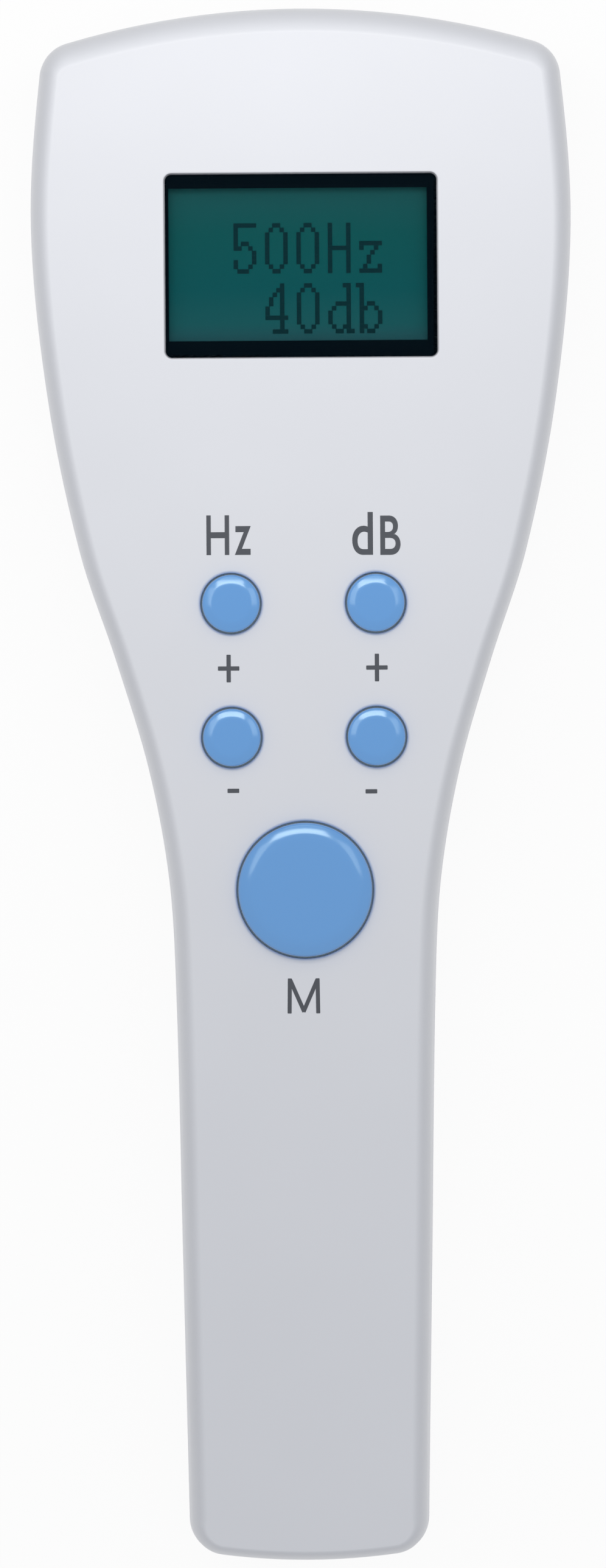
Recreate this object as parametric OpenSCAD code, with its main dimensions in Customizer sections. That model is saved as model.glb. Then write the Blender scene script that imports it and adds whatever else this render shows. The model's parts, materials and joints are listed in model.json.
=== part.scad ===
// Handheld audiometer: a wide head with the display and a loudspeaker, and a narrow grip with the
// battery bay. It lies on its back: X across, Y from the tail to the crown, Z from back to front.
// Origin: middle of the outline, on the back face.

/* [Casing] */
// Length from tail to crown
case_length = 200; // [200:1:206]
// Thickness from the back face to the front face
case_thickness = 28; // [28:0.5:30]
// Height of the seam between the two shells
seam_z = 14; // [14:0.5:14.5]
// Wall thickness of both shells
wall = 2.2; // [2:0.1:2.4]
// Width of the head at its widest
head_width = 69.7; // [68:0.5:74]
// Width of the grip below the waist
grip_width = 33.5; // [33.4:0.1:36]
// Width of the grip at the tail
tail_width = 30.9; // [30.5:0.1:33]
// Radius of the crown's long arc
crown_radius = 107; // [100:1:130]
// Radius of the crown's corners
crown_corner = 4.8; // [4.7:0.1:6]
// Radius of the tail's long arc
tail_radius = 85; // [70:1:110]
// Radius of the tail's corners
tail_corner = 4.8; // [4.7:0.1:6]
// How far the front edge rounds inwards along the sides
front_edge = 2.5; // [2.4:0.1:2.8]
// How far the back edge rounds inwards along the sides
back_edge = 3.2; // [3:0.1:3.2]
// Share of that rounding at the crown
crown_share = 1.4; // [1:0.05:1.4]
// Share of that rounding at the tail
tail_share = 0.6; // [0.5:0.05:1]

/* [Display] */
// Width of the window
window_w = 35.2; // [33:0.1:36]
// Height of the window along Y
window_h = 23.8; // [22:0.1:25]
// Middle of the window along Y
window_y = 66.6; // [65:0.1:67.5]
// Width of the lit area
lit_w = 33.2; // [31:0.1:33.8]
// Height of the lit area along Y
lit_h = 19.6; // [18:0.1:20]

/* [Keys] */
// Radius of the four small keys
small_key_r = 3.7; // [3.4:0.05:4.2]
// Radius of the large key
main_key_r = 8.6; // [8:0.05:9]
// Distance of the small keys from the middle line
key_x = 9.3; // [9:0.1:10]
// Upper row of small keys
upper_row_y = 23.2; // [22:0.1:25]
// Lower row of small keys
lower_row_y = 6; // [5.5:0.1:8]
// Middle of the large key
main_key_y = -13.6; // [-14:0.1:-13]
// How far a small key stands out of the face
small_key_rise = 1.5; // [1:0.1:2]
// How far the large key stands out of the face
main_key_rise = 2.0; // [1.2:0.1:2.6]
// Travel of every key
key_travel = 0.5; // [0.3:0.1:0.6]
// Gap round a key in its hole
key_gap = 0.22; // [0.2:0.01:0.3]

/* [Loudspeaker] */
// Middle of the loudspeaker along Y
speaker_y = 60; // [58:0.5:61]
// Radius of the loudspeaker's frame
speaker_r = 18; // [17:0.5:18]
// Rings of grille holes round the middle one
grille_rings = 3; // [2:1:3]

/* [Battery bay] */
// Upper inner end of the bay
bay_top_y = -34; // [-34:0.5:-33]
// Radius of an AAA cell
cell_r = 5.2; // [5:0.05:5.25]
// Length of a cell without its button
cell_length = 43.6; // [43.3:0.1:43.6]

/* [Headphone socket] */
// Radius of the socket's bore, for a 3.5 mm plug
jack_bore_r = 1.8; // [1.8:0.05:1.9]

/* [Hidden] */
$fn = 48;

front_z = case_thickness;
ceiling_z = front_z - wall;
crown_y = case_length / 2;
tail_y = -case_length / 2;
head_hw = head_width / 2;
grip_hw = grip_width / 2;
tail_hw = tail_width / 2;
flare = head_hw - grip_hw;

// ---- outline -------------------------------------------------------------------------------
// Slope of the side, half-width against Y, where it meets the corners.
tail_slope = 0.018;
crown_slope = -0.11;
crown_end_hw = head_hw - 0.07 * flare;

function unit(v) = v / norm(v);
function side_normal(slope) = unit([1, -slope]);

// A corner is an arc that touches the side and the long end arc. sign is 1 at the crown, -1 at the tail.
function corner_centre(hw, slope, r, end_r, end_y, sign) =
    let (x = hw - r * side_normal(slope)[0])
    [x, end_y - sign * end_r + sign * sqrt(pow(end_r - r, 2) - x * x)];

crown_c = corner_centre(crown_end_hw, crown_slope, crown_corner, crown_radius, crown_y, 1);
tail_c = corner_centre(tail_hw, tail_slope, tail_corner, tail_radius, tail_y, -1);
crown_end_y = crown_c[1] + crown_corner * side_normal(crown_slope)[1];
tail_end_y = tail_c[1] + tail_corner * side_normal(tail_slope)[1];

// Stations up the side: Y and half-width. The flare runs from the grip to the head.
side = [
    [tail_end_y, tail_hw],
    [-60, (tail_hw + grip_hw) / 2],
    [-26, grip_hw],
    [-12, grip_hw + 0.045 * flare],
    [2, grip_hw + 0.184 * flare],
    [16, grip_hw + 0.412 * flare],
    [30, grip_hw + 0.666 * flare],
    [50, grip_hw + 0.889 * flare],
    [72, head_hw],
    [crown_end_y, crown_end_hw],
];
last = len(side) - 1;

function slope_at(i) =
    i == 0 ? tail_slope :
    i == last ? crown_slope :
    (side[i + 1][1] - side[i - 1][1]) / (side[i + 1][0] - side[i - 1][0]);

// Cubic between stations i and i + 1: [half-width, slope] at t from 0 to 1.
function side_at(i, t) =
    let (h = side[i + 1][0] - side[i][0], a = side[i][1], b = side[i + 1][1],
         m = h * slope_at(i), n = h * slope_at(i + 1))
    [(2 * t * t * t - 3 * t * t + 1) * a + (t * t * t - 2 * t * t + t) * m
         + (3 * t * t - 2 * t * t * t) * b + (t * t * t - t * t) * n,
     ((6 * t * t - 6 * t) * (a - b) + (3 * t * t - 4 * t + 1) * m + (3 * t * t - 2 * t) * n) / h];

// Every outline point is [x, y, normal x, normal y].
function arc_points(c, r, from, to, steps, first = 0) =
    [for (k = [first:steps]) let (a = from + (to - from) * k / steps, n = [cos(a), sin(a)])
        [c[0] + r * n[0], c[1] + r * n[1], n[0], n[1]]];
function side_points(steps) =
    [for (i = [last - 1:-1:0], k = [steps - 1:-1:0]) if (i + k > 0)
        let (s = side_at(i, k / steps), n = side_normal(s[1]))
        [s[0], side[i][0] + (side[i + 1][0] - side[i][0]) * k / steps, n[0], n[1]]];

crown_arc_c = [0, crown_y - crown_radius];
tail_arc_c = [0, tail_y + tail_radius];
crown_a = atan2(crown_c[1] - crown_arc_c[1], crown_c[0]);
tail_a = atan2(tail_c[1] - tail_arc_c[1], tail_c[0]);
right_half = concat(
    arc_points(crown_arc_c, crown_radius, 90, crown_a, 4),
    arc_points(crown_c, crown_corner, crown_a, atan(-crown_slope), 6, 1),
    side_points(3),
    arc_points(tail_c, tail_corner, atan(-tail_slope), tail_a, 6),
    arc_points(tail_arc_c, tail_radius, tail_a, -90, 3, 1));
half_count = len(right_half);
outline = concat(right_half,
    [for (i = [half_count - 2:-1:1]) let (q = right_half[i]) [-q[0], q[1], -q[2], q[3]]]);
ring_count = len(outline);

// The rounding grows towards the crown and shrinks towards the tail.
function share(q) = q[3] > 0 ? 1 + (crown_share - 1) * q[3] : 1 - (1 - tail_share) * -q[3];

// The outline moved inwards by extra and by d times the rounding's share, at height z.
function ring(d, z, extra = 0) = [for (q = outline) let (in = d * share(q) + extra)
    [q[0] - in * q[2], q[1] - in * q[3], z]];

// Rungs across a ring, from its crown point to its tail point.
function cap(at, turned) =
    [for (i = [0:half_count - 2])
        let (f = i == 0 ? [0, 1, ring_count - 1]
               : i == half_count - 2 ? [i, i + 1, ring_count - i]
               : [i, i + 1, ring_count - i - 1, ring_count - i])
        [for (k = [0:len(f) - 1]) at + f[turned ? len(f) - 1 - k : k]]];

// A closed skin over rings that follow each other, with a flat cap at each end. turned is for
// rings that start at the back face and not at the front face.
module skin(rings, turned = false) {
    n = ring_count;
    quads = [for (k = [0:len(rings) - 2], i = [0:n - 1]) let (j = (i + 1) % n)
        turned ? [k * n + i, k * n + j, (k + 1) * n + j, (k + 1) * n + i]
               : [k * n + i, (k + 1) * n + i, (k + 1) * n + j, k * n + j]];
    triangles = [for (q = quads, k = [1, 2]) [q[0], q[k], q[k + 1]]];
    polyhedron([for (r = rings) each r],
        concat(triangles, cap(0, turned), cap((len(rings) - 1) * n, !turned)));
}

// ---- shells --------------------------------------------------------------------------------
draft = 0.3;
front_edge_h = 6;
back_edge_h = 6.5;
inner_edge_h = 4;
groove = 0.25;
tongue_out = 1;
tongue_h = 1.4;
tongue_gap = 0.1;

// Edge profile as [inset, z], from the flat face at face_z to the seam.
function edge(face_z, dir, inset, height, steps) =
    [for (k = [steps:-1:0]) let (a = 90 * k / steps)
        [draft + (inset - draft) * (1 - cos(a)), face_z - dir * height * (1 - sin(a))]];
front_profile = edge(front_z, 1, front_edge, front_edge_h, 6);
back_profile = edge(0, -1, back_edge, back_edge_h, 6);
front_inner = edge(ceiling_z, 1, front_edge - 1.2, inner_edge_h, 3);
back_inner = edge(wall, -1, back_edge - 1.6, inner_edge_h, 3);

function rings_of(profile, extra = 0) = [for (p = profile) ring(p[0], p[1], extra)];
function turned_round(list) = [for (k = [len(list) - 1:-1:0]) list[k]];

module front_skin() {
    skin(concat(
        rings_of(front_profile),
        [ring(0, seam_z + groove), ring(0, seam_z, groove), ring(0, seam_z, tongue_out),
         ring(0, seam_z - tongue_h, tongue_out), ring(0, seam_z - tongue_h, wall)],
        turned_round(rings_of(front_inner, wall))));
}

module back_skin() {
    rebate = tongue_out - tongue_gap;
    skin(concat(
        rings_of(back_profile),
        [ring(0, seam_z - groove), ring(0, seam_z, groove), ring(0, seam_z, rebate),
         ring(0, seam_z - tongue_h - tongue_gap, rebate), ring(0, seam_z - tongue_h - tongue_gap, wall)],
        turned_round(rings_of(back_inner, wall))), true);
}

// The back half as one solid block, for pieces that share its outer surface.
module back_block() {
    skin(concat(rings_of(back_profile), [ring(0, seam_z)]), true);
}

module at_both(x, y) {
    for (s = [-1, 1]) translate([s * x, y, 0]) children();
}

module block(from, to) {
    translate(from) cube(to - from);
}

module rod(r, from, to) {
    translate([0, 0, from]) cylinder(r = r, h = to - from);
}

module round_plate(w, h, r, from, to) {
    translate([0, 0, from]) linear_extrude(to - from) {
        square([w - 2 * r, h], center = true);
        square([w, h - 2 * r], center = true);
        for (sx = [-1, 1], sy = [-1, 1]) translate([sx * (w / 2 - r), sy * (h / 2 - r)]) circle(r);
    }
}

// Pilot hole of a screw in a post that ends at z from.
module pilot(kind, from, tip_z) {
    rod(kind[0] + thread_gap, from - 1, tip_z + 1);
}

// A block round the middle of the display.
module slab(half, from, to) {
    translate([0, window_y, 0]) block([-half[0], -half[1], from], [half[0], half[1], to]);
}

// A rod along Y at the height of the headphone socket.
module along_y(r, from, to) {
    translate([0, to, jack_z]) rotate([90, 0, 0]) cylinder(r = r, h = to - from);
}

// ---- places shared by several pieces ----
board_z = front_z - 10;
board_t = 1.6;
board_low = board_z - board_t;
case_screw_at = [[28, 84], [11.2, -28.4]];
board_post_at = [[24.3, 76], [24.3, 41], [10.6, -21.5]];
post_r = 2.4;
boss_r = 3;
lower_boss_r = 3.2;
foot_z = 1;

// Screws as [shank radius, head radius, head height]. Their pilot holes are thread_gap wider.
case_screw = [1.25, 2.4, 1.7];
board_screw = [0.9, 1.8, 1.1];
jack_screw = [0.8, 1.5, 0.9];
speaker_screw = [0.8, 1.6, 0.9];
thread_gap = 0.02;
free_gap = 0.2;
case_head_z = 3;
case_tip_z = 21;
board_tip_z = 22.5;
jack_tip_z = 20;

keys = [
    ["hz_up", -key_x, upper_row_y, small_key_r, small_key_rise],
    ["hz_down", -key_x, lower_row_y, small_key_r, small_key_rise],
    ["db_up", key_x, upper_row_y, small_key_r, small_key_rise],
    ["db_down", key_x, lower_row_y, small_key_r, small_key_rise],
    ["main", 0, main_key_y, main_key_r, main_key_rise],
];

lens_t = 1.1;
lens_low = front_z - 0.1 - lens_t;
mask_t = 0.2;
ledge_z = lens_low - mask_t;
lit_shift = [-0.4, 0.15];
window_corner = 1;
bezel_half = [19, 13.5];
glass_half = [18.5, 13];
bezel_margin = 0.6;
frame_half = bezel_half + [0.3, 0.3];
frame_wall = 1.1;
frame_depth = 2.2;

jack_z = 18.5;
jack_low = jack_z - 2.8;
jack_face_y = tail_y + 0.9;
jack_back_y = -85;
jack_board_t = 1.2;
jack_post_at = [7, -89];
jack_post_r = 2;
jack_barrel_r = 2.9;
jack_half = 3.2;

bay_low_y = bay_top_y - 49;
bay_hw = 10.8;
bay_wall = 1.2;
cell_x = 5.35;
cell_z = 7.3;
bay_roof_z = cell_z + cell_r + 0.2;
plate_t = 0.4;
tab_hw = 1.5;

door_hw = 11.3;
door_top_y = bay_top_y + 1;
door_t = 1.7;
rail = 0.9;
rail_z = 0.9;
door_gap = 0.15;
ledge_top_z = 3.1;

// Where posts and ribs end inside the front wall.
root_z = ceiling_z + 0.5;

module front_shell() {
    color("whitesmoke") difference() {
        union() {
            front_skin();
            for (p = case_screw_at) at_both(p[0], p[1]) rod(boss_r, seam_z + 0.1, root_z);
            for (p = board_post_at) at_both(p[0], p[1]) rod(post_r, board_z, root_z);
            at_both(jack_post_at[0], jack_post_at[1]) rod(jack_post_r, jack_low, root_z);
            difference() {
                slab(frame_half + [frame_wall, frame_wall], ceiling_z - frame_depth, root_z);
                slab(frame_half, 0, front_z);
            }
        }
        for (p = case_screw_at) at_both(p[0], p[1]) pilot(case_screw, seam_z, case_tip_z);
        for (p = board_post_at) at_both(p[0], p[1]) pilot(board_screw, board_z, board_tip_z);
        at_both(jack_post_at[0], jack_post_at[1]) pilot(jack_screw, jack_low, jack_tip_z);
        translate([0, window_y, 0]) {
            round_plate(window_w, window_h, window_corner, ledge_z, front_z + 1);
            translate(lit_shift) round_plate(lit_w + 0.6, lit_h + 0.8, 0.5, ceiling_z - 1, front_z);
        }
        for (k = keys) translate([k[1], k[2], 0]) rod(k[3] + key_gap, ceiling_z - 1, front_z + 1);
        along_y(jack_barrel_r + free_gap, tail_y - 1, jack_back_y);
    }
}

// The battery bay inside the back shell: two side walls, two end walls, a roof and a thick floor.
module bay_box() {
    out = bay_hw + bay_wall;
    block([-out, bay_low_y - bay_wall, foot_z], [out, bay_top_y + bay_wall, bay_roof_z + bay_wall]);
    intersection() {
        back_block();
        block([-head_hw, tail_y - 1, foot_z], [head_hw, door_top_y + 2, ledge_top_z]);
    }
}

// The space that the door slides in: its plate, its side rails and the way out at the tail.
module door_slot(gap) {
    hw = door_hw + gap;
    block([-hw, tail_y - 5, -1], [hw, door_top_y + gap, door_t + gap]);
    block([-hw - rail, tail_y - 5, rail_z - gap], [hw + rail, door_top_y + gap, door_t + gap]);
}

grille_pitch = 3.8;
grille_hole_r = 1.1;
grille_recess_r = 15.2;
grille_recess = 0.6;

module grille_holes() {
    for (i = [0:grille_rings], k = [0:max(6 * i, 1) - 1]) let (a = 60 * k / max(i, 1) + 30)
        translate(i * grille_pitch * [cos(a), sin(a)]) rod(grille_hole_r, -1, wall + 1);
}

speaker_post_r = 2.2;
speaker_post_at = [for (a = [30, 150, 270]) (speaker_r + 3.2) * [cos(a), sin(a)]];
speaker_rest_z = wall + 1.1;
speaker_post_z = speaker_rest_z + 1;

module rear_shell() {
    color("whitesmoke") difference() {
        union() {
            back_skin();
            for (p = case_screw_at) at_both(p[0], p[1]) rod(lower_boss_r, foot_z, seam_z - 0.1);
            bay_box();
            translate([0, speaker_y, 0]) {
                for (p = speaker_post_at) translate(p) rod(speaker_post_r, foot_z, speaker_post_z);
                difference() {
                    rod(speaker_r + 1.2, foot_z, speaker_rest_z + 0.4);
                    rod(speaker_r + free_gap, wall, seam_z);
                }
            }
        }
        for (p = case_screw_at) at_both(p[0], p[1]) {
            rod(case_screw[0] + free_gap, -1, seam_z + 1);
            rod(case_screw[1] + 0.3, -1, case_head_z);
        }
        door_slot(door_gap);
        block([-bay_hw, bay_low_y, -1], [bay_hw, bay_top_y, bay_roof_z]);
        at_both(cell_x, bay_top_y) block([-tab_hw - 0.2, -0.6, cell_z], [tab_hw + 0.2, 0.2, board_z]);
        translate([0, speaker_y, 0]) {
            grille_holes();
            rod(grille_recess_r, -1, grille_recess);
            for (p = speaker_post_at) translate(p) rod(speaker_screw[0] + thread_gap, wall, seam_z);
        }
    }
}

grip_line_w = 1;
grip_line_pitch = 2;
grip_line_hw = 6;
grip_line_depth = 0.5;

// Sliding cover of the bay, flush with the back and the tail, with thumb lines near its inner end.
module battery_door() {
    color("gainsboro") difference() {
        intersection() {
            back_block();
            union() {
                door_slot(0);
            }
        }
        for (k = [0:5]) let (hw = grip_line_hw - 0.4 * k)
            translate([0, door_top_y - 6 - k * grip_line_pitch, 0])
                block([-hw, 0, -1], [hw, grip_line_w, grip_line_depth]);
    }
}

// ---- fasteners -----------------------------------------------------------------------------
// A screw that points up: its head's underside is at z, its crossed recess faces down.
module screw(kind, z, tip_z) {
    r = kind[0];
    low = z - kind[2];
    arm = [0.6 * kind[1], 0.14 * kind[1]];
    difference() {
        union() {
            rod(kind[1], low, z);
            rod(r, z - 0.1, tip_z - r);
            translate([0, 0, tip_z - r]) cylinder(r1 = r, r2 = 0.3 * r, h = r);
        }
        for (a = [0, 90]) rotate(a)
            block([-arm[0], -arm[1], low - 1], [arm[0], arm[1], low + 0.67 * kind[2]]);
    }
}

module case_screws() {
    color("silver") for (p = case_screw_at) at_both(p[0], p[1]) screw(case_screw, case_head_z, case_tip_z);
}

module board_screws() {
    color("silver") for (p = board_post_at) at_both(p[0], p[1]) screw(board_screw, board_low, board_tip_z);
}

module jack_screws() {
    color("silver") at_both(jack_post_at[0], jack_post_at[1])
        screw(jack_screw, jack_low - jack_board_t, jack_tip_z);
}

module speaker_screws() {
    color("silver") translate([0, speaker_y, speaker_post_z + clamp_t])
        for (p = speaker_post_at) translate(p) mirror([0, 0, 1]) screw(speaker_screw, 0, 3);
}

// ---- display -------------------------------------------------------------------------------
// A plate that fits the window with gap all round.
module window_plate(gap, from, to) {
    round_plate(window_w - 2 * gap, window_h - 2 * gap, window_corner - gap, from, to);
}

module display_lens() {
    color([0.6, 0.75, 0.75, 0.4]) translate([0, window_y, 0]) window_plate(0.05, lens_low, lens_low + lens_t);
}

module display_mask() {
    color("black") translate([0, window_y, 0]) difference() {
        window_plate(0.15, ledge_z, lens_low);
        translate(lit_shift) block([-lit_w / 2, -lit_h / 2, 0], [lit_w / 2, lit_h / 2, front_z]);
    }
}

bezel_top = ceiling_z - 0.2;
bezel_t = 0.4;
lcd_board_top = bezel_top - 3.2;
lcd_board_t = 1.2;
backlight_top = lcd_board_top + 1.05;

module lcd_bezel() {
    color("dimgray") difference() {
        slab(bezel_half, lcd_board_top, bezel_top);
        slab(bezel_half - [bezel_t, bezel_t], lcd_board_top - 1, bezel_top - bezel_t);
        slab([lit_w, lit_h] / 2 + [bezel_margin, bezel_margin], 0, front_z);
    }
}

module lcd_panel() {
    color("darkslategray") slab(glass_half, backlight_top + 0.05, bezel_top - bezel_t - 0.05);
}

module lcd_backlight() {
    color("white") slab(glass_half, lcd_board_top, backlight_top);
}

pin_pitch = 2.54;
pin_half = 0.32;
pin_hole_r = 0.5;
header_half = 1.25;
header_y = window_y + 14.8;

module pin_places() {
    for (k = [-3.5:1:3.5]) translate([k * pin_pitch, header_y, 0]) children();
}

module lcd_board() {
    color("seagreen") difference() {
        translate([0, window_y, lcd_board_top - lcd_board_t])
            block([-20.2, -15.8, 0], [20.2, 16.4, lcd_board_t]);
        pin_places() rod(pin_hole_r, 0, front_z);
    }
}

module pin(half, from, to) {
    block([-half, -half, from], [half, half, to]);
}

module lcd_header() {
    hw = 4 * pin_pitch;
    color("black") difference() {
        translate([0, header_y, 0])
            block([-hw, -header_half, board_z], [hw, header_half, lcd_board_top - lcd_board_t]);
        pin_places() pin(pin_half + thread_gap, 0, front_z);
    }
}

module header_pins() {
    color("gold") pin_places() pin(pin_half, board_low - 1, lcd_board_top + 0.8);
}

// ---- keys and their switches ---------------------------------------------------------------
switch_h = 3.5;
switch_half = 3;
switch_floor = 0.6;
plunger_low = board_z + 1.4 + key_travel;
plunger_top = board_z + 5;
plunger_r = 1.75;
plunger_foot_r = 2.3;
plunger_foot = 0.7;
flange_t = 1;
flange_out = 1.1;

bevel_slope = 18;

// Half-section of a cap: a slightly crowned top, a bevel, a round shoulder, a flange and a stem.
module key_cap(k) {
    r = k[3];
    top = front_z + k[4];
    crown = 0.02 * r;
    bevel_w = 0.17 * r + 0.55;
    shoulder = 0.3 * k[4];
    arc_end = 90 - bevel_slope;
    bevel_h = (bevel_w - shoulder * (1 - cos(arc_end))) * tan(bevel_slope);
    shoulder_low = top - crown - bevel_h - shoulder * sin(arc_end);
    top_r = r - bevel_w;
    stem_r = 0.42 * r;
    flange_top = ceiling_z - 0.05;
    color("cornflowerblue") translate([k[1], k[2], 0]) rotate_extrude() polygon(concat(
        [[0, plunger_top], [stem_r, plunger_top], [stem_r, flange_top - flange_t],
         [r + flange_out, flange_top - flange_t], [r + flange_out, flange_top], [r, flange_top]],
        [for (a = [0:arc_end / 4:arc_end]) [r - shoulder * (1 - cos(a)), shoulder_low + shoulder * sin(a)]],
        [[top_r, top - crown], [0.5 * top_r, top - 0.25 * crown], [0, top]]));
}

module plunger(k) {
    color("dimgray") translate([k[1], k[2], 0]) {
        rod(plunger_r, plunger_low, plunger_top);
        rod(plunger_foot_r, plunger_low, plunger_low + plunger_foot);
    }
}

// Snap dome under a plunger: a thin shallow cone with a flat middle.
module dome(k) {
    z = board_z + switch_floor + 0.02;
    h = plunger_low - z;
    color("silver") translate([k[1], k[2], 0]) rotate_extrude()
        polygon([[0, z + h - 0.15], [1.1, z + h - 0.15], [2.2, z], [2.4, z], [1.2, z + h], [0, z + h]]);
}

module switch_body(k) {
    color("darkslategray") translate([k[1], k[2], 0]) difference() {
        block([-switch_half, -switch_half, board_z], [switch_half, switch_half, board_z + switch_h]);
        rod(plunger_r + 0.05, board_z + switch_floor, front_z);
        rod(plunger_foot_r + 0.2, board_z + switch_floor, plunger_low + plunger_foot + 0.1);
    }
}

// ---- circuit board -------------------------------------------------------------------------
module main_board() {
    right = [[22, 88.5], [22, 79.5], [27, 79.5], [27, 42], [20.5, 17], [13, -4], [13, -24.5]];
    color("seagreen") difference() {
        translate([0, 0, board_low]) linear_extrude(board_t)
            polygon(concat(right, [for (i = [len(right) - 1:-1:0]) [-right[i][0], right[i][1]]]));
        for (p = board_post_at) at_both(p[0], p[1]) rod(board_screw[0] + free_gap, 0, front_z);
        pin_places() rod(pin_hole_r, 0, front_z);
    }
}

// Under the main board, chips hang with their legs level with its lower face.
chip_low = -1.5;
chip_top = -0.15;
leg_half = 0.2;
leg_low = -0.6;

module legs(from_x, to_x, count, pitch) {
    for (k = [(1 - count) / 2:1:(count - 1) / 2])
        block([from_x, pitch * k - leg_half, leg_low], [to_x, pitch * k + leg_half, 0]);
}

module microcontroller() {
    color("black") translate([0, 26, board_low]) {
        block([-5, -5, chip_low], [5, 5, chip_top]);
        for (a = [0:90:270]) rotate(a) legs(4.8, 6.2, 9, 1);
    }
}

module audio_amplifier() {
    color("black") translate([13, 22, board_low]) {
        block([-2, -2.5, chip_low], [2, 2.5, chip_top]);
        for (a = [0, 180]) rotate(a) legs(1.8, 3, 4, 1.2);
    }
}

module crystal() {
    color("silver") translate([0, 15, board_low - 3.4]) round_plate(11, 4.6, 2.2, 0, 3.4);
}

capacitor_at = [[-14, 26], [-13, 18], [7, -14]];

module capacitors() {
    color("navy") for (p = capacitor_at) translate(p) rod(2.5, board_low - 6, board_low);
}

module resistors() {
    color("black") for (k = [0:3], s = [-1, 1]) translate([s * 7, 2 - 5 * k + 3 * (k % 2), board_low])
        if (!(s == 1 && k == 3)) block([-1, -0.6, -0.5], [1, 0.6, 0]);
}

// ---- loudspeaker ---------------------------------------------------------------------------
module dust_mesh() {
    color("dimgray") translate([0, speaker_y, 0]) rod(speaker_r - 0.3, wall, wall + 0.3);
}

module speaker_gasket() {
    color("black") translate([0, speaker_y, 0]) difference() {
        rod(speaker_r - 0.2, wall + 0.3, speaker_rest_z);
        rod(speaker_r - 2.6, 0, 10);
    }
}

module speaker_basket() {
    z = speaker_rest_z;
    color("silver") translate([0, speaker_y, 0]) difference() {
        rotate_extrude() polygon([[speaker_r - 2.4, z], [speaker_r, z], [speaker_r, z + 1],
            [speaker_r - 2, z + 1], [9.5, z + 5.6], [4.2, z + 5.6], [4.2, z + 4.8], [9, z + 4.8]]);
        for (a = [45:90:315]) rotate(a) translate([12.6, 0, 0]) rod(1.8, z + 1, z + 10);
    }
}

module speaker_cone() {
    z = speaker_rest_z;
    color("dimgray") translate([0, speaker_y, 0]) rotate_extrude()
        polygon([[0, z + 2.3], [3.2, z + 1.9], [4, z + 3.1], [13.6, z + 0.5], [14.4, z + 0.1], [15, z + 0.1],
            [15, z + 0.4], [14.4, z + 0.4], [13.8, z + 0.9], [3.9, z + 3.6], [3.5, z + 3.6], [3, z + 2.4],
            [0, z + 2.7]]);
}

module voice_coil() {
    color("darkorange") translate([0, speaker_y, 0]) difference() {
        rod(3.85, speaker_rest_z + 3.6, speaker_rest_z + 8);
        rod(3.5, 0, front_z);
    }
}

// Magnet ring with its end plate and a pole that stands in the voice coil.
module speaker_magnet() {
    z = speaker_rest_z + 5.6;
    color("gray") translate([0, speaker_y, 0]) rotate_extrude()
        polygon([[4.2, z], [9, z], [9, z + 3.2], [8.6, z + 3.2], [8.6, z + 3.6], [9, z + 3.6], [9, z + 4.6],
            [0, z + 4.6], [0, z + 0.2], [3.2, z + 0.2], [3.2, z + 3.2], [4.2, z + 3.2]]);
}

// Plate ring with three ears that holds the loudspeaker's flange down.
clamp_t = 1;
module speaker_clamp() {
    z = speaker_post_z;
    color("silver") translate([0, speaker_y, 0]) difference() {
        union() {
            rod(speaker_r + 1.4, z, z + clamp_t);
            for (p = speaker_post_at) translate(p) rod(speaker_post_r, z, z + clamp_t);
        }
        rod(speaker_r - 1.4, 0, front_z);
        for (p = speaker_post_at) translate(p) rod(speaker_screw[0] + free_gap, 0, front_z);
    }
}

// ---- headphone socket ----------------------------------------------------------------------
module headphone_jack() {
    color("black") difference() {
        union() {
            block([-jack_half, jack_face_y + 1.9, jack_low], [jack_half, jack_back_y, 2 * jack_z - jack_low]);
            along_y(jack_barrel_r, jack_face_y, jack_face_y + 2);
        }
        along_y(jack_bore_r, tail_y - 1, jack_back_y - 1);
    }
}

module jack_board() {
    color("seagreen") difference() {
        block([-9.4, tail_y + 4, jack_low - jack_board_t], [9.4, jack_back_y + 0.4, jack_low]);
        at_both(jack_post_at[0], jack_post_at[1]) rod(jack_screw[0] + free_gap, 0, front_z);
    }
}

// ---- battery bay ---------------------------------------------------------------------------
button_h = 0.9;
button_r = 1.9;

// Both cells lie between plates at the bay's ends; the left one's button points to the head.
module cell(button_up) {
    low = button_up ? bay_top_y - plate_t - button_h - cell_length : bay_low_y + plate_t + button_h;
    translate([0, low + cell_length, cell_z]) rotate([90, 0, 0]) {
        cylinder(r = cell_r, h = cell_length);
        translate([0, 0, button_up ? -button_h : cell_length - 0.1])
            cylinder(r = button_r, h = button_h + 0.1);
    }
}

module battery_left() {
    color("steelblue") translate([-cell_x, 0, 0]) cell(true);
}

module battery_right() {
    color("steelblue") translate([cell_x, 0, 0]) cell(false);
}

contact_hw = 4.4;
contact_hh = 4;

module contact_plate(hw, y) {
    block([-hw, y, cell_z - contact_hh], [hw, y + plate_t, cell_z + contact_hh]);
}

module upper_contact(x) {
    color("silver") translate([x, bay_top_y, 0]) {
        contact_plate(contact_hw, -plate_t);
        block([-tab_hw, -plate_t, cell_z + contact_hh - 0.1], [tab_hw, 0, bay_roof_z + bay_wall + 1.4]);
    }
}

module contact_positive() {
    upper_contact(-cell_x);
}

module contact_negative() {
    upper_contact(cell_x);
}

module contact_link() {
    color("silver") contact_plate(10, bay_low_y);
}

// ---- wires and springs ---------------------------------------------------------------------
function cross_unit(a, b) = unit(cross(a, b));

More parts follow.
